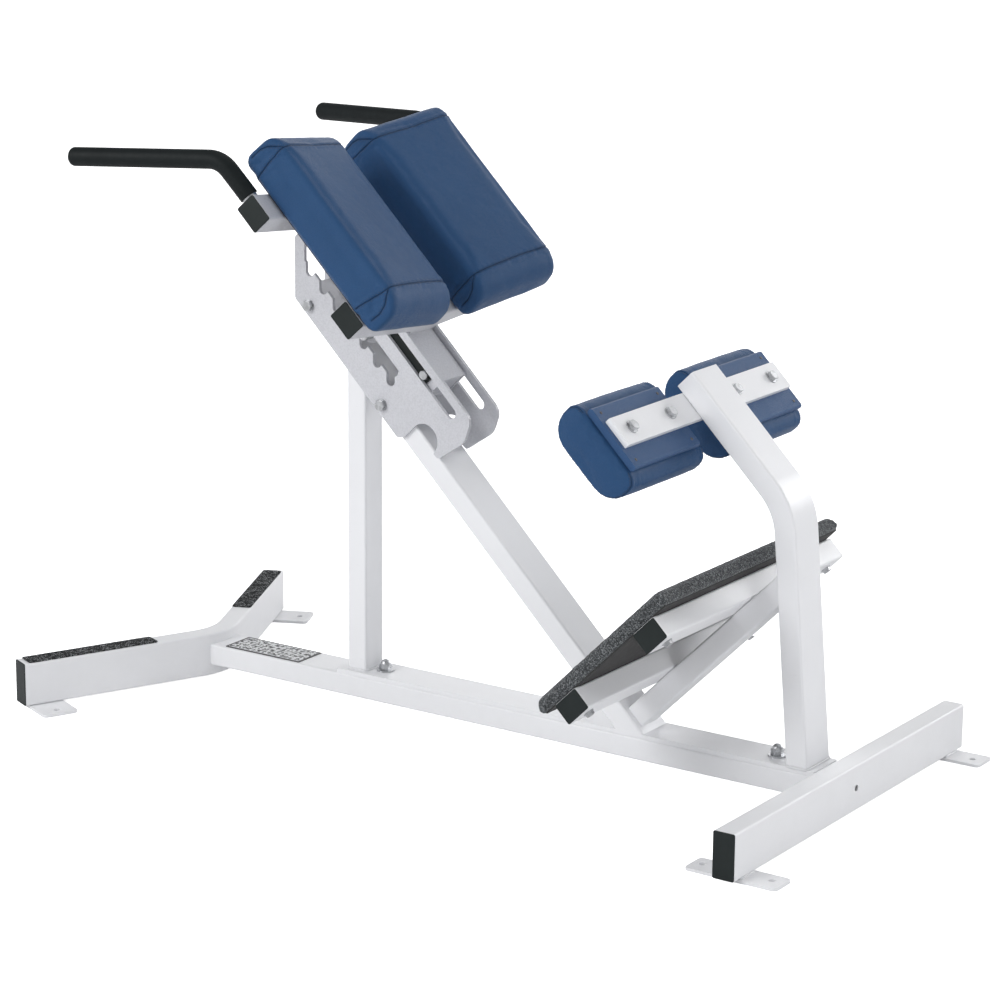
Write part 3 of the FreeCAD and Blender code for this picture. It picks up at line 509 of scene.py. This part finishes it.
def evaluated(ob):
    bpy.context.view_layer.update()
    dg = bpy.context.evaluated_depsgraph_get()
    me = bpy.data.meshes.new_from_object(ob.evaluated_get(dg))
    return me


def apply_all(ob):
    me = evaluated(ob)
    ob.modifiers.clear()
    old = ob.data
    ob.data = me
    bpy.data.meshes.remove(old)
    return ob


def coords(me):
    a = np.zeros(len(me.vertices) * 3)
    me.vertices.foreach_get("co", a)
    return a.reshape(-1, 3)


def set_coords(me, co):
    me.vertices.foreach_set("co", np.asarray(co, float).ravel())
    me.update()


def normals(me):
    a = np.zeros(len(me.vertices) * 3)
    me.vertices.foreach_get("normal", a)
    return a.reshape(-1, 3)


def inflate(ob, pinned, cap, pressure=4.0, frames=20):
    """Cloth under pressure, gravity off, points in `pinned` held, travel capped."""
    rest = coords(ob.data).copy()
    vg = ob.vertex_groups.new(name="held")
    vg.add([int(i) for i in np.nonzero(pinned)[0]], 1.0, "REPLACE")
    md = ob.modifiers.new("cloth", "CLOTH")
    st = md.settings
    st.quality = 4
    st.mass = 0.3
    st.tension_stiffness = 14
    st.compression_stiffness = 14
    st.shear_stiffness = 5
    st.bending_stiffness = 0.6
    st.use_pressure = True
    st.uniform_pressure_force = pressure
    st.effector_weights.gravity = 0.0
    st.vertex_group_mass = "held"
    md.collision_settings.use_collision = False
    md.collision_settings.use_self_collision = False
    md.point_cache.frame_start = 1
    md.point_cache.frame_end = frames
    for f in range(1, frames + 1):
        scene.frame_set(f)
        bpy.context.view_layer.update()
    out = evaluated(ob)
    moved = coords(out)
    bpy.data.meshes.remove(out)
    ob.modifiers.clear()
    ob.vertex_groups.clear()
    scene.frame_set(1)
    # the faces swell outward; the edges between them keep their line
    nr = normals(ob.data)
    out_n = np.einsum("ij,ij->i", moved - rest, nr)
    out_n = np.where(out_n > 0, np.tanh(out_n / cap) * cap, 0.10 * np.maximum(out_n, -cap))
    out_n[pinned] = 0.0
    set_coords(ob.data, rest + nr * out_n[:, None])
    return ob


def smooth_mod(ob, it, factor=0.5):
    md = ob.modifiers.new("sm", "SMOOTH")
    md.factor = factor
    md.iterations = it
    return ob


def subdivide(ob, levels=1):
    md = ob.modifiers.new("sub", "SUBSURF")
    md.levels = levels
    md.render_levels = levels
    return apply_all(ob)


def dbg(name, step, ob):
    c = coords(ob.data)
    return c


def soft_form(name, centres, r, voxel, pinned_fn, cap, pressure=4.0):
    ob = swept_hull(name + "_form", centres, r)
    dbg(name, "hull", ob)
    md = ob.modifiers.new("rm", "REMESH")
    md.mode = "VOXEL"
    md.voxel_size = voxel
    smooth_mod(ob, 2)
    apply_all(ob)
    dbg(name, "remesh", ob)
    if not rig.quick():
        inflate(ob, pinned_fn(coords(ob.data)), cap, pressure)
        dbg(name, "cloth", ob)
    smooth_mod(ob, 1)
    apply_all(ob)
    subdivide(ob, 1)
    dbg(name, "final", ob)
    return ob


def bvh(me):
    return BVHTree.FromPolygons([v.co[:] for v in me.vertices], [tuple(p.vertices) for p in me.polygons])


def resample(pts, step):
    pts = np.array(pts, float)
    seg = np.linalg.norm(np.diff(pts, axis=0), axis=1)
    cum = np.concatenate([[0], np.cumsum(seg)])
    n = max(2, int(cum[-1] / step) + 1)
    t = np.linspace(0, cum[-1], n)
    return np.stack([np.interp(t, cum, pts[:, i]) for i in range(3)], -1)


def onto(tree, pts, step=0.0012):
    """Guide points laid onto the skin, evenly spaced, with the skin's normals."""
    p = resample(pts, step)
    for _ in range(2):
        p = np.array([tree.find_nearest(Vector(q))[0][:] for q in p])
        for _ in range(2):
            q = p.copy()
            q[1:-1] = (p[:-2] + 2 * p[1:-1] + p[2:]) / 4
            p = q
        p = resample(p, step)
    hits = [tree.find_nearest(Vector(q)) for q in p]
    return np.array([h[0][:] for h in hits]), np.array([h[1][:] for h in hits])


def sew(ob, seams, depth=0.0015, width=0.0010, puff=0.00055, pucker=0.00014, seed=0.0):
    """Presses each seam into the skin, lifts the cloth beside it and puckers it."""
    me = ob.data
    co, no = coords(me), normals(me)
    tree = kdtree.KDTree(sum(len(s[0]) for s in seams))
    arc, i = [], 0
    for pts, _ in seams:
        cum = 0.0
        for j, p in enumerate(pts):
            if j:
                cum += float(np.linalg.norm(p - pts[j - 1]))
            tree.insert(Vector(p), i)
            arc.append(cum)
            i += 1
    tree.balance()
    seam_shade_weight = np.zeros(len(co))
    out = co.copy()
    for k, p in enumerate(co):
        _, idx, d = tree.find(Vector(p))
        if d > 0.03:
            continue
        g = math.exp(-((d / width) ** 2))
        side = math.exp(-(((d - 0.0042) / 0.0028) ** 2))
        wob = math.cos(2 * math.pi * (arc[idx] / 0.0135 + 0.35 * noise.noise(Vector((arc[idx] * 40, seed, 0)))))
        out[k] += no[k] * (-depth * g + puff * side + pucker * wob * math.exp(-((d - 0.004) / 0.005) ** 2))
        # weight for the painted shade laid into the seam groove
        seam_shade_weight[k] = math.exp(-((d / 0.0011) ** 2))
    set_coords(me, out)
    return seam_shade_weight


def refine(ob, seams, radii=(0.0075, 0.0050)):
    """Splits the skin finely beside the seams so that they stay crisp."""
    n = sum(len(q[0]) for q in seams)
    tree = kdtree.KDTree(n)
    i = 0
    for pts, _ in seams:
        for q in pts:
            tree.insert(Vector(q), i)
            i += 1
    tree.balance()
    for radius in radii:
        bm = bmesh.new()
        bm.from_mesh(ob.data)
        near = {v.index for v in bm.verts if tree.find(v.co)[2] < radius}
        edges = [e for e in bm.edges if e.verts[0].index in near and e.verts[1].index in near]
        bmesh.ops.subdivide_edges(bm, edges=edges, cuts=1, use_grid_fill=True, smooth=0.0)
        bm.verts.ensure_lookup_table()
        soft = [v for v in bm.verts if tree.find(v.co)[2] < radius * 0.9]
        for _ in range(3):
            bmesh.ops.smooth_vert(bm, verts=soft, factor=0.5, use_axis_x=True, use_axis_y=True, use_axis_z=True)
        bmesh.ops.triangulate(bm, faces=[f for f in bm.faces if len(f.verts) > 4])
        bm.to_mesh(ob.data)
        bm.free()
    ob.data.update()


def fold_noise(ob, amount, scale, seed, weight=None, stretch=(1, 1, 1)):
    me = ob.data
    co, no = coords(me), normals(me)
    st = np.array(stretch) * scale
    f = np.array([noise.fractal(Vector(p * st + seed), 0.9, 2.1, 3) for p in co])
    if weight is not None:
        f = f * weight
    set_coords(me, co + no * (f * amount)[:, None])


def stitch_mesh(seams, offset=0.0024, pitch=0.0046, length=0.0031, r=0.00042, lift=0.00012):
    verts, faces = [], []
    for pts, nrm in seams:
        seg = np.linalg.norm(np.diff(pts, axis=0), axis=1)
        cum = np.concatenate([[0], np.cumsum(seg)])
        for sgn in (-1, 1):
            t = pitch * 0.5 + (0.0 if sgn < 0 else 0.0006)
            while t + length < cum[-1]:
                row = []
                for q in np.linspace(t, t + length, 5):
                    p = np.array([np.interp(q, cum, pts[:, i]) for i in range(3)])
                    n = np.array([np.interp(q, cum, nrm[:, i]) for i in range(3)])
                    n /= np.linalg.norm(n)
                    j = min(max(int(np.searchsorted(cum, q)), 1), len(pts) - 1)
                    tan = pts[j] - pts[j - 1]
                    tan /= np.linalg.norm(tan)
                    lat = np.cross(n, tan)
                    row.append((p, n, lat, tan))
                b0 = len(verts)
                for a, (p, n, lat, tan) in enumerate(row):
                    e = (a - 2) / 2.0
                    c = p + lat * offset * sgn + n * (lift - 0.0006 * e * e)
                    rr = r * (0.55 if abs(e) > 0.9 else 1.0)
                    for m in range(6):
                        an = math.pi * m / 3
                        verts.append(c + (lat * math.cos(an) + n * math.sin(an)) * rr)
                for a in range(4):
                    for m in range(6):
                        m2 = (m + 1) % 6
                        faces.append((b0 + a * 6 + m, b0 + a * 6 + m2, b0 + a * 6 + 6 + m2, b0 + a * 6 + 6 + m))
                faces.append(tuple(b0 + m for m in reversed(range(6))))
                faces.append(tuple(b0 + 24 + m for m in range(6)))
                t += pitch
    return np.array(verts), faces


def place(src, name, fmap, side, mat, body, slot, seam_shade_weight=None):
    """A piece worked in pad coordinates is put into the row frame on one side."""
    co = coords(src.data)
    faces = [tuple(p.vertices) for p in src.data.polygons]
    if side < 0:
        faces = [f[::-1] for f in faces]
    ob = mesh_object(name, fmap(co, side), faces, mat, None, slot)
    if seam_shade_weight is not None:
        # the seam weight drives painted shade in the seam grooves of the vinyl
        a = ob.data.attributes.new("seam", "FLOAT", "POINT")
        a.data.foreach_set("value", np.asarray(seam_shade_weight, np.float32))
    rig.ride(ob, body)
    return ob


def place_raw(verts, faces, name, fmap, side, mat, body, slot):
    if side < 0:
        faces = [f[::-1] for f in faces]
    return mesh_object(name, fmap(np.asarray(verts), side), faces, mat, body, slot)


# ------------------------------------------------------------------ thigh pads
S0, S1 = -1.3990, -1.0390
IN = 0.0004                     # how much smaller the form starts than the pad
SEAM_UP, SEAM_LO = -1.3705, -1.0812


SKIRT, HIGH = -0.0093, 0.0630


def u_sides(w):
    k = (w - SKIRT) / (HIGH - SKIRT)
    return 0.0100 * k, 0.2125 - 0.0065 * k


def thigh_form():
    r = 0.0095
    pts = []
    top = HIGH - IN
    for cs, sg in ((S0 + IN - 0.0045, -1), (S1 - IN, 1)):
        R = 0.038 if sg > 0 else 0.027
        prof = [(cs - sg * R + sg * (R - r) * math.cos(math.radians(a)), top - R + (R - r) * math.sin(math.radians(a)))
                for a in range(0, 91, 10)]
        rb = 0.018
        prof += [(cs - sg * rb + sg * (rb - r) * math.cos(math.radians(a)), SKIRT + rb - (rb - r) * math.sin(math.radians(a)))
                 for a in (0, 30, 60, 90)]
        for s, w in prof:
            ui, uo = u_sides(w)
            pts.append((s, ui + IN + r, w))
            pts.append((s, uo - IN - r, w))
    return pts, r


def thigh_guides(tree):
    seams = []
    for s in (SEAM_UP, SEAM_LO):
        sg = -1 if s == SEAM_UP else 1
        # across the top, over both ridges and down both sides
        g = [(s + sg * 0.003, 0.001, -0.007), (s + sg * 0.001, 0.005, 0.028), (s, 0.0095, 0.054), (s, 0.0145, 0.062),
             (s - sg * 0.001, 0.060, 0.065), (s - sg * 0.0015, 0.105, 0.066), (s - sg * 0.001, 0.155, 0.065),
             (s, 0.2010, 0.062), (s + sg * 0.0003, 0.2065, 0.054), (s - sg * 0.004, 0.2095, 0.026),
             (s - sg * 0.010, 0.2120, -0.007)]
        seams.append(onto(tree, g))
        # the end panel's corner seams
        for u0, u1, u2 in ((0.2020, 0.2055, 0.2090), (0.0135, 0.0085, 0.0045)):
            g = [(s + sg * 0.001, u0, 0.0610), (s + sg * 0.009, u1, 0.052), (s + sg * 0.018, u1, 0.041),
                 (s + sg * 0.0235, u2, 0.026), (s + sg * 0.0225, u2, 0.008)]
            seams.append(onto(tree, g))
    return seams


def make_thigh():
    pts, r = thigh_form()
    base = soft_form("thigh", pts, r, 0.0044, lambda c: c[:, 2] < SKIRT + 0.004, 0.0035, 4.0)
    for side, tag in ((-1, "left"), (1, "right")):
        ob = base.copy()
        ob.data = base.data.copy()
        scene.collection.objects.link(ob)
        co = coords(ob.data)
        # long crown on the top panel, sides drawn in a little between the corners
        top = np.clip((co[:, 2] - 0.030) / 0.030, 0, 1)
        us = (co[:, 1] - 0.104) / 0.104
        ss = (co[:, 0] - (S0 + S1) / 2) / 0.18
        crown = 0.0016 * top * np.clip(1 - us ** 2, 0, 1) * np.clip(1 - ss ** 4, 0, 1)
        co[:, 2] += crown
        pull = 0.0012 * np.clip(1 - ss ** 2, 0, 1) * np.clip(1 - np.abs(co[:, 2] - 0.03) / 0.04, 0, 1)
        co[:, 1] -= np.sign(us) * pull * (np.abs(us) > 0.8)
        set_coords(ob.data, co)
        # broad soft creases, stronger beside the end seams
        d_end = np.minimum(np.abs(co[:, 0] - SEAM_UP), np.abs(co[:, 0] - SEAM_LO))
        w_end = np.exp(-((d_end / 0.022) ** 2))
        fold_noise(ob, 0.0005, 20.0, 3.1 + side * 5.0)
        corner = w_end * np.clip((np.abs(us) - 0.72) / 0.28, 0, 1)
        fold_noise(ob, 0.0016, 60.0, 9.7 + side * 3.0, corner + 0.10 * w_end, stretch=(1.6, 0.8, 1.0))
        tree = bvh(ob.data)
        seams = thigh_guides(tree)
        refine(ob, seams)
        attr = sew(ob, seams, seed=side * 2.0)
        co = coords(ob.data)
        co[:, 2] = np.maximum(co[:, 2], SKIRT)
        set_coords(ob.data, co)
        tree2 = bvh(ob.data)
        name = "thigh_pad_%s_cover" % tag
        pad = place(ob, name, thigh_map, side, M["blue_vinyl"], "pad_carriage", "blue_vinyl", attr)
        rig.replaces(pad, "thigh_pad_" + tag)
        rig.padded(pad, fill=0.85)
        rows = []
        for p, n in seams:
            hit = [tree2.find_nearest(Vector(q)) for q in p]
            rows.append((np.array([h[0][:] for h in hit]), n))
        v, f = stitch_rows(rows, tree2)
        place_raw(v, f, "thigh_pad_%s_stitching" % tag, thigh_map, side, thread, "pad_carriage", "blue_vinyl")
        bpy.data.objects.remove(ob)
    bpy.data.objects.remove(base)


def stitch_rows(seams, tree, offset=0.0027):
    """Two rows of short stitches laid on the finished skin beside each seam."""
    rows = []
    for pts, nrm in seams:
        for sgn in (-1, 1):
            q, qn = [], []
            for j in range(1, len(pts) - 1):
                tan = pts[j + 1] - pts[j - 1]
                ln = np.linalg.norm(tan)
                if ln < 1e-9:
                    continue
                lat = np.cross(nrm[j], tan / ln)
                lat /= max(np.linalg.norm(lat), 1e-9)
                h = tree.find_nearest(Vector(pts[j] + lat * offset * sgn))
                q.append(h[0][:])
                qn.append(h[1][:])
            rows.append((np.array(q), np.array(qn), sgn))
    verts, faces = [], []
    pitch, length, r = 0.0047, 0.0033, 0.00040
    for pts, nrm, sgn in rows:
        cum = np.concatenate([[0], np.cumsum(np.linalg.norm(np.diff(pts, axis=0), axis=1))])
        t = pitch * (0.4 if sgn < 0 else 0.5)
        while t + length < cum[-1]:
            b0 = len(verts)
            for a in range(5):
                q = t + length * a / 4
                p = np.array([np.interp(q, cum, pts[:, i]) for i in range(3)])
                n = np.array([np.interp(q, cum, nrm[:, i]) for i in range(3)])
                n /= max(np.linalg.norm(n), 1e-9)
                j = min(max(int(np.searchsorted(cum, q)), 1), len(pts) - 1)
                tan = pts[j] - pts[j - 1]
                tan /= max(np.linalg.norm(tan), 1e-9)
                lat = np.cross(n, tan)
                lat /= max(np.linalg.norm(lat), 1e-9)
                e = (a - 2) / 2.0
                c = p + n * (0.00022 - 0.00055 * e * e)
                rr = r * (0.6 if abs(e) > 0.9 else 1.0)
                for m in range(6):
                    an = math.pi * m / 3
                    verts.append(c + (lat * math.cos(an) + n * math.sin(an)) * rr)
            for a in range(4):
                for m in range(6):
                    m2 = (m + 1) % 6
                    faces.append((b0 + a * 6 + m, b0 + a * 6 + m2, b0 + a * 6 + 6 + m2, b0 + a * 6 + 6 + m))
            faces.append(tuple(b0 + m for m in reversed(range(6))))
            faces.append(tuple(b0 + 24 + m for m in range(6)))
            t += pitch
    return np.array(verts), faces


# -------------------------------------------------------------------- leg pads
L_S0, L_S1, L_N0, L_N1, L_Y0, L_Y1 = -0.727, -0.570, 0.146, 0.214, 0.045, 0.268


def make_leg():
    r = 0.0075
    pts = []
    inn = 0.0006
    corners = [(L_S0, L_N0, 0.040, 1, 1), (L_S1, L_N0, 0.040, -1, 1), (L_S1, L_N1, 0.020, -1, -1), (L_S0, L_N1, 0.020, 1, -1)]
    for y in (L_Y0 + inn + r, L_Y1 - inn - r):
        for s, n, R, ds, dn in corners:
            top = inn if dn > 0 else 0.0006
            for a in range(0, 91, 15):
                ca, sa = math.cos(math.radians(a)), math.sin(math.radians(a))
                pts.append((s + ds * (inn + R) - ds * (R - r) * ca, y, n + dn * (top + R) - dn * (R - r) * sa))
    base = soft_form("leg", pts, r, 0.0040, lambda c: c[:, 2] > L_N1 - 0.004, 0.0040, 4.0)
    for side, tag in ((-1, "left"), (1, "right")):
        ob = base.copy()
        ob.data = base.data.copy()
        scene.collection.objects.link(ob)
        co = coords(ob.data)
        # barrel crown along the roller
        v = (co[:, 1] - (L_Y0 + L_Y1) / 2) / ((L_Y1 - L_Y0) / 2)
        sc, nc = (L_S0 + L_S1) / 2, 0.184
        rad = np.stack([co[:, 0] - sc, co[:, 2] - nc], -1)
        ln = np.linalg.norm(rad, axis=1, keepdims=True)
        amt = 0.0030 - 0.0012 * np.clip(np.abs(v), 0, 1) ** 2.4
        free = np.clip((L_N1 - 0.002 - co[:, 2]) / 0.012, 0, 1)
        k = rad / np.maximum(ln, 1e-9) * (amt * free)[:, None]
        co[:, 0] += k[:, 0]
        co[:, 2] += k[:, 1]
        set_coords(ob.data, co)
        near_back = np.clip((co[:, 2] - 0.186) / 0.02, 0, 1)
        fold_noise(ob, 0.0005, 22.0, 1.3 + side * 4.0)
        fold_noise(ob, 0.0014, 55.0, 6.3 + side * 2.0, near_back * np.clip((np.abs(v) - 0.55) / 0.4, 0, 1), stretch=(0.8, 1.6, 0.8))
        tree = bvh(ob.data)
        seams = []
        for y in (L_Y0 + 0.0055, L_Y1 - 0.0055):
            loop = []
            for s, n, R, ds, dn in (corners[3], corners[0], corners[1], corners[2]):
                order = range(90, -1, -15) if (ds * dn) < 0 else range(0, 91, 15)
                for a in order:
                    ca, sa = math.cos(math.radians(a)), math.sin(math.radians(a))
                    loop.append((s + ds * R - ds * R * ca, y, n + dn * R - dn * R * sa))
            seams.append(onto(tree, loop))
        refine(ob, seams)
        attr = sew(ob, seams, depth=0.0012, seed=side + 7.0)
        co = coords(ob.data)
        co[:, 2] = np.minimum(co[:, 2], L_N1 - 0.0003)
        set_coords(ob.data, co)
        tree2 = bvh(ob.data)
        pad = place(ob, "leg_pad_%s_cover" % tag, leg_map, side, M["blue_vinyl"], "frame", "blue_vinyl", attr)
        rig.replaces(pad, "leg_pad_" + tag)
        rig.padded(pad, fill=0.85)
        rows = []
        for p, n in seams:
            hit = [tree2.find_nearest(Vector(q)) for q in p]
            rows.append((np.array([h[0][:] for h in hit]), n))
        vv, ff = stitch_rows(rows, tree2)
        place_raw(vv, ff, "leg_pad_%s_stitching" % tag, leg_map, side, thread, "frame", "blue_vinyl")
        bpy.data.objects.remove(ob)
    bpy.data.objects.remove(base)


# ---------------------------------------------------------------------- carpet
def make_carpet():
    s_top, s_bot = -0.4265, -0.3995
    n0, n1, yy = -0.179, 0.136, 0.275
    r = 0.0035
    pts = []
    for y in (-yy + 0.0125, yy - 0.0125):
        sy = -1 if y < 0 else 1
        for n, sn in ((n0, -1), (n1, 1)):
            for a in range(0, 91, 15):
                for b in (0, 30, 60, 90):
                    ra = math.radians(a)
                    rb = math.radians(b)
                    R = 0.0125
                    e = (R - r)
                    # rounded upper edges all round
                    pts.append((s_top + R - e * math.sin(ra), y + sy * e * math.cos(ra) * math.sin(rb),
                                n - sn * R + sn * e * math.cos(ra) * math.cos(rb)))
            for a in (0, 45, 90):
                ra = math.radians(a)
                pts.append((s_bot - 0.0085 + 0.005 * math.sin(ra), y + sy * (0.0040 + 0.005 * math.cos(ra)), n - sn * (0.0085 - 0.005 * math.cos(ra))))
    ob = swept_hull("carpet_form", pts, r, 2)
    md = ob.modifiers.new("rm", "REMESH")
    md.mode = "VOXEL"
    md.voxel_size = 0.0042
    smooth_mod(ob, 2)
    apply_all(ob)
    subdivide(ob, 1)
    me = ob.data
    co, no = coords(me), normals(me)
    up = np.clip((s_bot - 0.002 - co[:, 0]) / 0.004, 0, 1)
    f = np.array([noise.fractal(Vector(p * 240.0), 0.7, 2.0, 2) + 0.35 * noise.noise(Vector(p * 70.0)) for p in co])
    co = co + no * ((f * 0.00055 - 0.0004) * up)[:, None]
    co[:, 0] = np.minimum(co[:, 0], s_bot)
    faces = [tuple(p.vertices) for p in me.polygons][:]
    world = incline(co[:, 0], co[:, 1], co[:, 2])
    piece = mesh_object("platform_carpet_pile", world, faces, M["platform_carpet"], "frame", "platform_carpet")
    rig.replaces(piece, "platform_carpet")
    bpy.data.objects.remove(ob)
    return piece


# ----------------------------------------------------------------- weld beads
def weld(name, body, path, closed=False, r=0.0026):
    p = np.array(path, float)
    if closed:
        p = np.vstack([p, p[:1]])
    p = resample(p, 0.0011)
    cum = np.concatenate([[0], np.cumsum(np.linalg.norm(np.diff(p, axis=0), axis=1))])
    verts, faces, m = [], [], 10
    n = len(p)
    for i in range(n):
        a, b = p[max(i - 1, 0)], p[min(i + 1, n - 1)]
        if closed and i in (0, n - 1):
            a, b = p[n - 2], p[1]
        t = b - a
        t /= max(np.linalg.norm(t), 1e-9)
        ref = np.array([0, 0, 1.0]) if abs(t[2]) < 0.9 else np.array([1.0, 0, 0])
        x = np.cross(t, ref)
        x /= np.linalg.norm(x)
        y = np.cross(x, t)
        wave = abs(math.sin(math.pi * cum[i] / 0.0034 + 0.6 * noise.noise(Vector(p[i] * 90))))
        rr = r * (0.80 + 0.26 * wave + 0.10 * noise.noise(Vector(p[i] * 160)))
        if not closed and (i < 3 or i > n - 4):
            rr *= 0.55 + 0.15 * min(i, n - 1 - i)
        for j in range(m):
            an = 2 * math.pi * j / m
            verts.append(p[i] + (x * math.cos(an) + y * math.sin(an)) * rr)
    for i in range(n - 1):
        for j in range(m):
            j2 = (j + 1) % m
            faces.append((i * m + j, i * m + j2, (i + 1) * m + j2, (i + 1) * m + j))
    faces.append(tuple(reversed(range(m))))
    faces.append(tuple((n - 1) * m + j for j in range(m)))
    ob = mesh_object(name, verts, faces, weld_mat, body, "frame_powder_coat")
    return ob


def rect_loop(x0, x1, y0, y1, z, rad=0.006, grow=0.0006):
    pts = []
    x0, x1, y0, y1 = x0 - grow, x1 + grow, y0 - grow, y1 + grow
    for cx, cy, a0 in ((x1 - rad, y1 - rad, 0), (x0 + rad, y1 - rad, 90), (x0 + rad, y0 + rad, 180), (x1 - rad, y0 + rad, 270)):
        for a in range(0, 91, 30):
            t = math.radians(a0 + a)
            pts.append((cx + rad * math.cos(t), cy + rad * math.sin(t), z))
    return pts


def foot_loop(node, z, tol=0.003):
    co = coords(frame["nodes"][node].data)
    c = co[np.abs(co[:, 2] - z) < tol]
    return c[:, 0].min(), c[:, 0].max(), c[:, 1].min(), c[:, 1].max()


def make_welds():
    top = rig.box("frame_base_plate")[1].z
    for node in ("rear_post", "front_post"):
        try:
            x0, x1, y0, y1 = foot_loop(node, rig.box(node)[0].z)
            weld("weld_%s_foot" % node, "frame", rect_loop(x0, x1, y0, y1, top + 0.0006), True)
        except ValueError:
            print("no foot found for", node)


def more_welds():
    rc0, rc1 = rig.box("rear_cross_member")
    r0, r1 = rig.box("base_rail")
    x = rc0.x
    weld("weld_rail_rear", "frame", [(x, r0.y, r0.z + 0.003), (x, r0.y, r1.z), (x, r0.y + 0.006, r1.z + 0.0005),
                                     (x, r1.y - 0.006, r1.z + 0.0005), (x, r1.y, r1.z), (x, r1.y, r0.z + 0.003)])
    f0, f1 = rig.box("rear_foot_plates")
    for i, sg in enumerate((-1, 1)):
        for j, xx in enumerate((rc0.x, rc1.x)):
            ya, yb = sg * 0.3160, sg * 0.3580
            weld("weld_foot_plate_%d%d" % (i, j), "frame", [(xx, ya, f1.z + 0.0004), (xx, yb, f1.z + 0.0004)], r=0.0023)


make_thigh()
make_leg()
make_carpet()
make_welds()
more_welds()

# ---------------------------------------------------------------------- stage
floor_m = Nodes("pale_floor")
floor_m.color(floor_m.mix(floor_m.noise(0.8, 3, 0.5), (0.93, 0.93, 0.935), (0.955, 0.955, 0.96)))
floor_m.rough(floor_m.noise(5, 3, 0.5), 0.75, 0.9)
floor_m.const(Specular_IOR_Level=0.15)
floor_m.b.inputs["Emission Color"].default_value = (1, 1, 1, 1)
floor_lp = floor_m.new("ShaderNodeLightPath")
floor_m.link(floor_m.math("MULTIPLY", floor_lp.outputs["Is Camera Ray"], 0.85), floor_m.b.inputs["Emission Strength"])
n = 24
fv = [((i / n - 0.5) * 60, (j / n - 0.5) * 60, -0.0003) for i in range(n + 1) for j in range(n + 1)]
ff = [(i * (n + 1) + j, (i + 1) * (n + 1) + j, (i + 1) * (n + 1) + j + 1, i * (n + 1) + j + 1) for i in range(n) for j in range(n)]
floor = mesh_object("studio_floor", fv, ff, floor_m.m, None, None)
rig.stage(floor)

world = bpy.data.worlds.new("studio")
scene.world = world
world.use_nodes = True
wt = world.node_tree
wt.nodes.clear()
out = wt.nodes.new("ShaderNodeOutputWorld")
bg_cam = wt.nodes.new("ShaderNodeBackground")
bg_cam.inputs["Color"].default_value = (1, 1, 1, 1)
bg_cam.inputs["Strength"].default_value = 1.05
bg_lit = wt.nodes.new("ShaderNodeBackground")
bg_lit.inputs["Color"].default_value = (0.97, 0.98, 1.0, 1)
sky = wt.nodes.new("ShaderNodeTexCoord")
sky_z = wt.nodes.new("ShaderNodeSeparateXYZ")
sky_s = wt.nodes.new("ShaderNodeMapRange")
for key, val in (("From Min", 0.0), ("From Max", 0.7), ("To Min", 0.80), ("To Max", 0.24)):
    sky_s.inputs[key].default_value = val
wt.links.new(sky.outputs["Generated"], sky_z.inputs[0])
wt.links.new(sky_z.outputs["Z"], sky_s.inputs["Value"])
wt.links.new(sky_s.outputs["Result"], bg_lit.inputs["Strength"])
lp = wt.nodes.new("ShaderNodeLightPath")
mx = wt.nodes.new("ShaderNodeMixShader")
wt.links.new(lp.outputs["Is Camera Ray"], mx.inputs[0])
wt.links.new(bg_lit.outputs[0], mx.inputs[1])
wt.links.new(bg_cam.outputs[0], mx.inputs[2])
wt.links.new(mx.outputs[0], out.inputs["Surface"])


def area(name, loc, target, size, power, color=(1, 1, 1), size_y=None):
    d = bpy.data.lights.new(name, "AREA")
    d.energy = power
    d.color = color
    d.size = size
    if size_y:
        d.shape = "RECTANGLE"
        d.size_y = size_y
    o = bpy.data.objects.new(name, d)
    scene.collection.objects.link(o)
    o.location = loc
    o.rotation_euler = (Vector(target) - Vector(loc)).to_track_quat("-Z", "Y").to_euler()
    return o


area("key_soft", (-2.2, -4.6, 3.4), (0, 0, 0.4), 2.6, 168)
area("top_soft", (0.3, 0.8, 4.6), (0, 0, 0.4), 3.0, 36)
area("right_fill", (5.0, -1.4, 1.3), (0, 0, 0.5), 2.0, 42)
area("back_sheet", (-1.5, 6.5, 2.4), (0, 0, 0.7), 7.0, 85, size_y=3.4)
area("back_right", (3.0, 5.8, 2.6), (-0.2, 0, 0.8), 2.2, 125)

# --------------------------------------------------------------------- camera
a, e, ro = math.radians(33.913754), math.radians(14.667603), math.radians(0.478789)
rv = Vector((math.cos(a), math.sin(a), 0))
dv = Vector((-math.sin(a) * math.cos(e), math.cos(a) * math.cos(e), -math.sin(e)))
uv = rv.cross(dv)
r2 = rv * math.cos(ro) + uv * math.sin(ro)
u2 = uv * math.cos(ro) - rv * math.sin(ro)
cam_d = bpy.data.cameras.new("camera")
cam_d.lens = 118.1693
cam_d.sensor_width = 36.0
cam_d.sensor_fit = "HORIZONTAL"
cam_d.clip_start, cam_d.clip_end = 0.1, 200
cam = bpy.data.objects.new("camera", cam_d)
scene.collection.objects.link(cam)
cam.matrix_world = Matrix(((r2.x, u2.x, -dv.x, 2.9384), (r2.y, u2.y, -dv.y, -4.3480), (r2.z, u2.z, -dv.z, 1.7783), (0, 0, 0, 1)))
scene.camera = cam
scene.view_settings.view_transform = "Standard"
scene.view_settings.look = "None"

VIS_LO, VIS_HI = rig.bounds()
with open("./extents.json", "w") as f:
    json.dump({"cad": [list(map(float, CAD_LO)), list(map(float, CAD_HI))],
               "visual": [list(map(float, VIS_LO)), list(map(float, VIS_HI))]}, f)
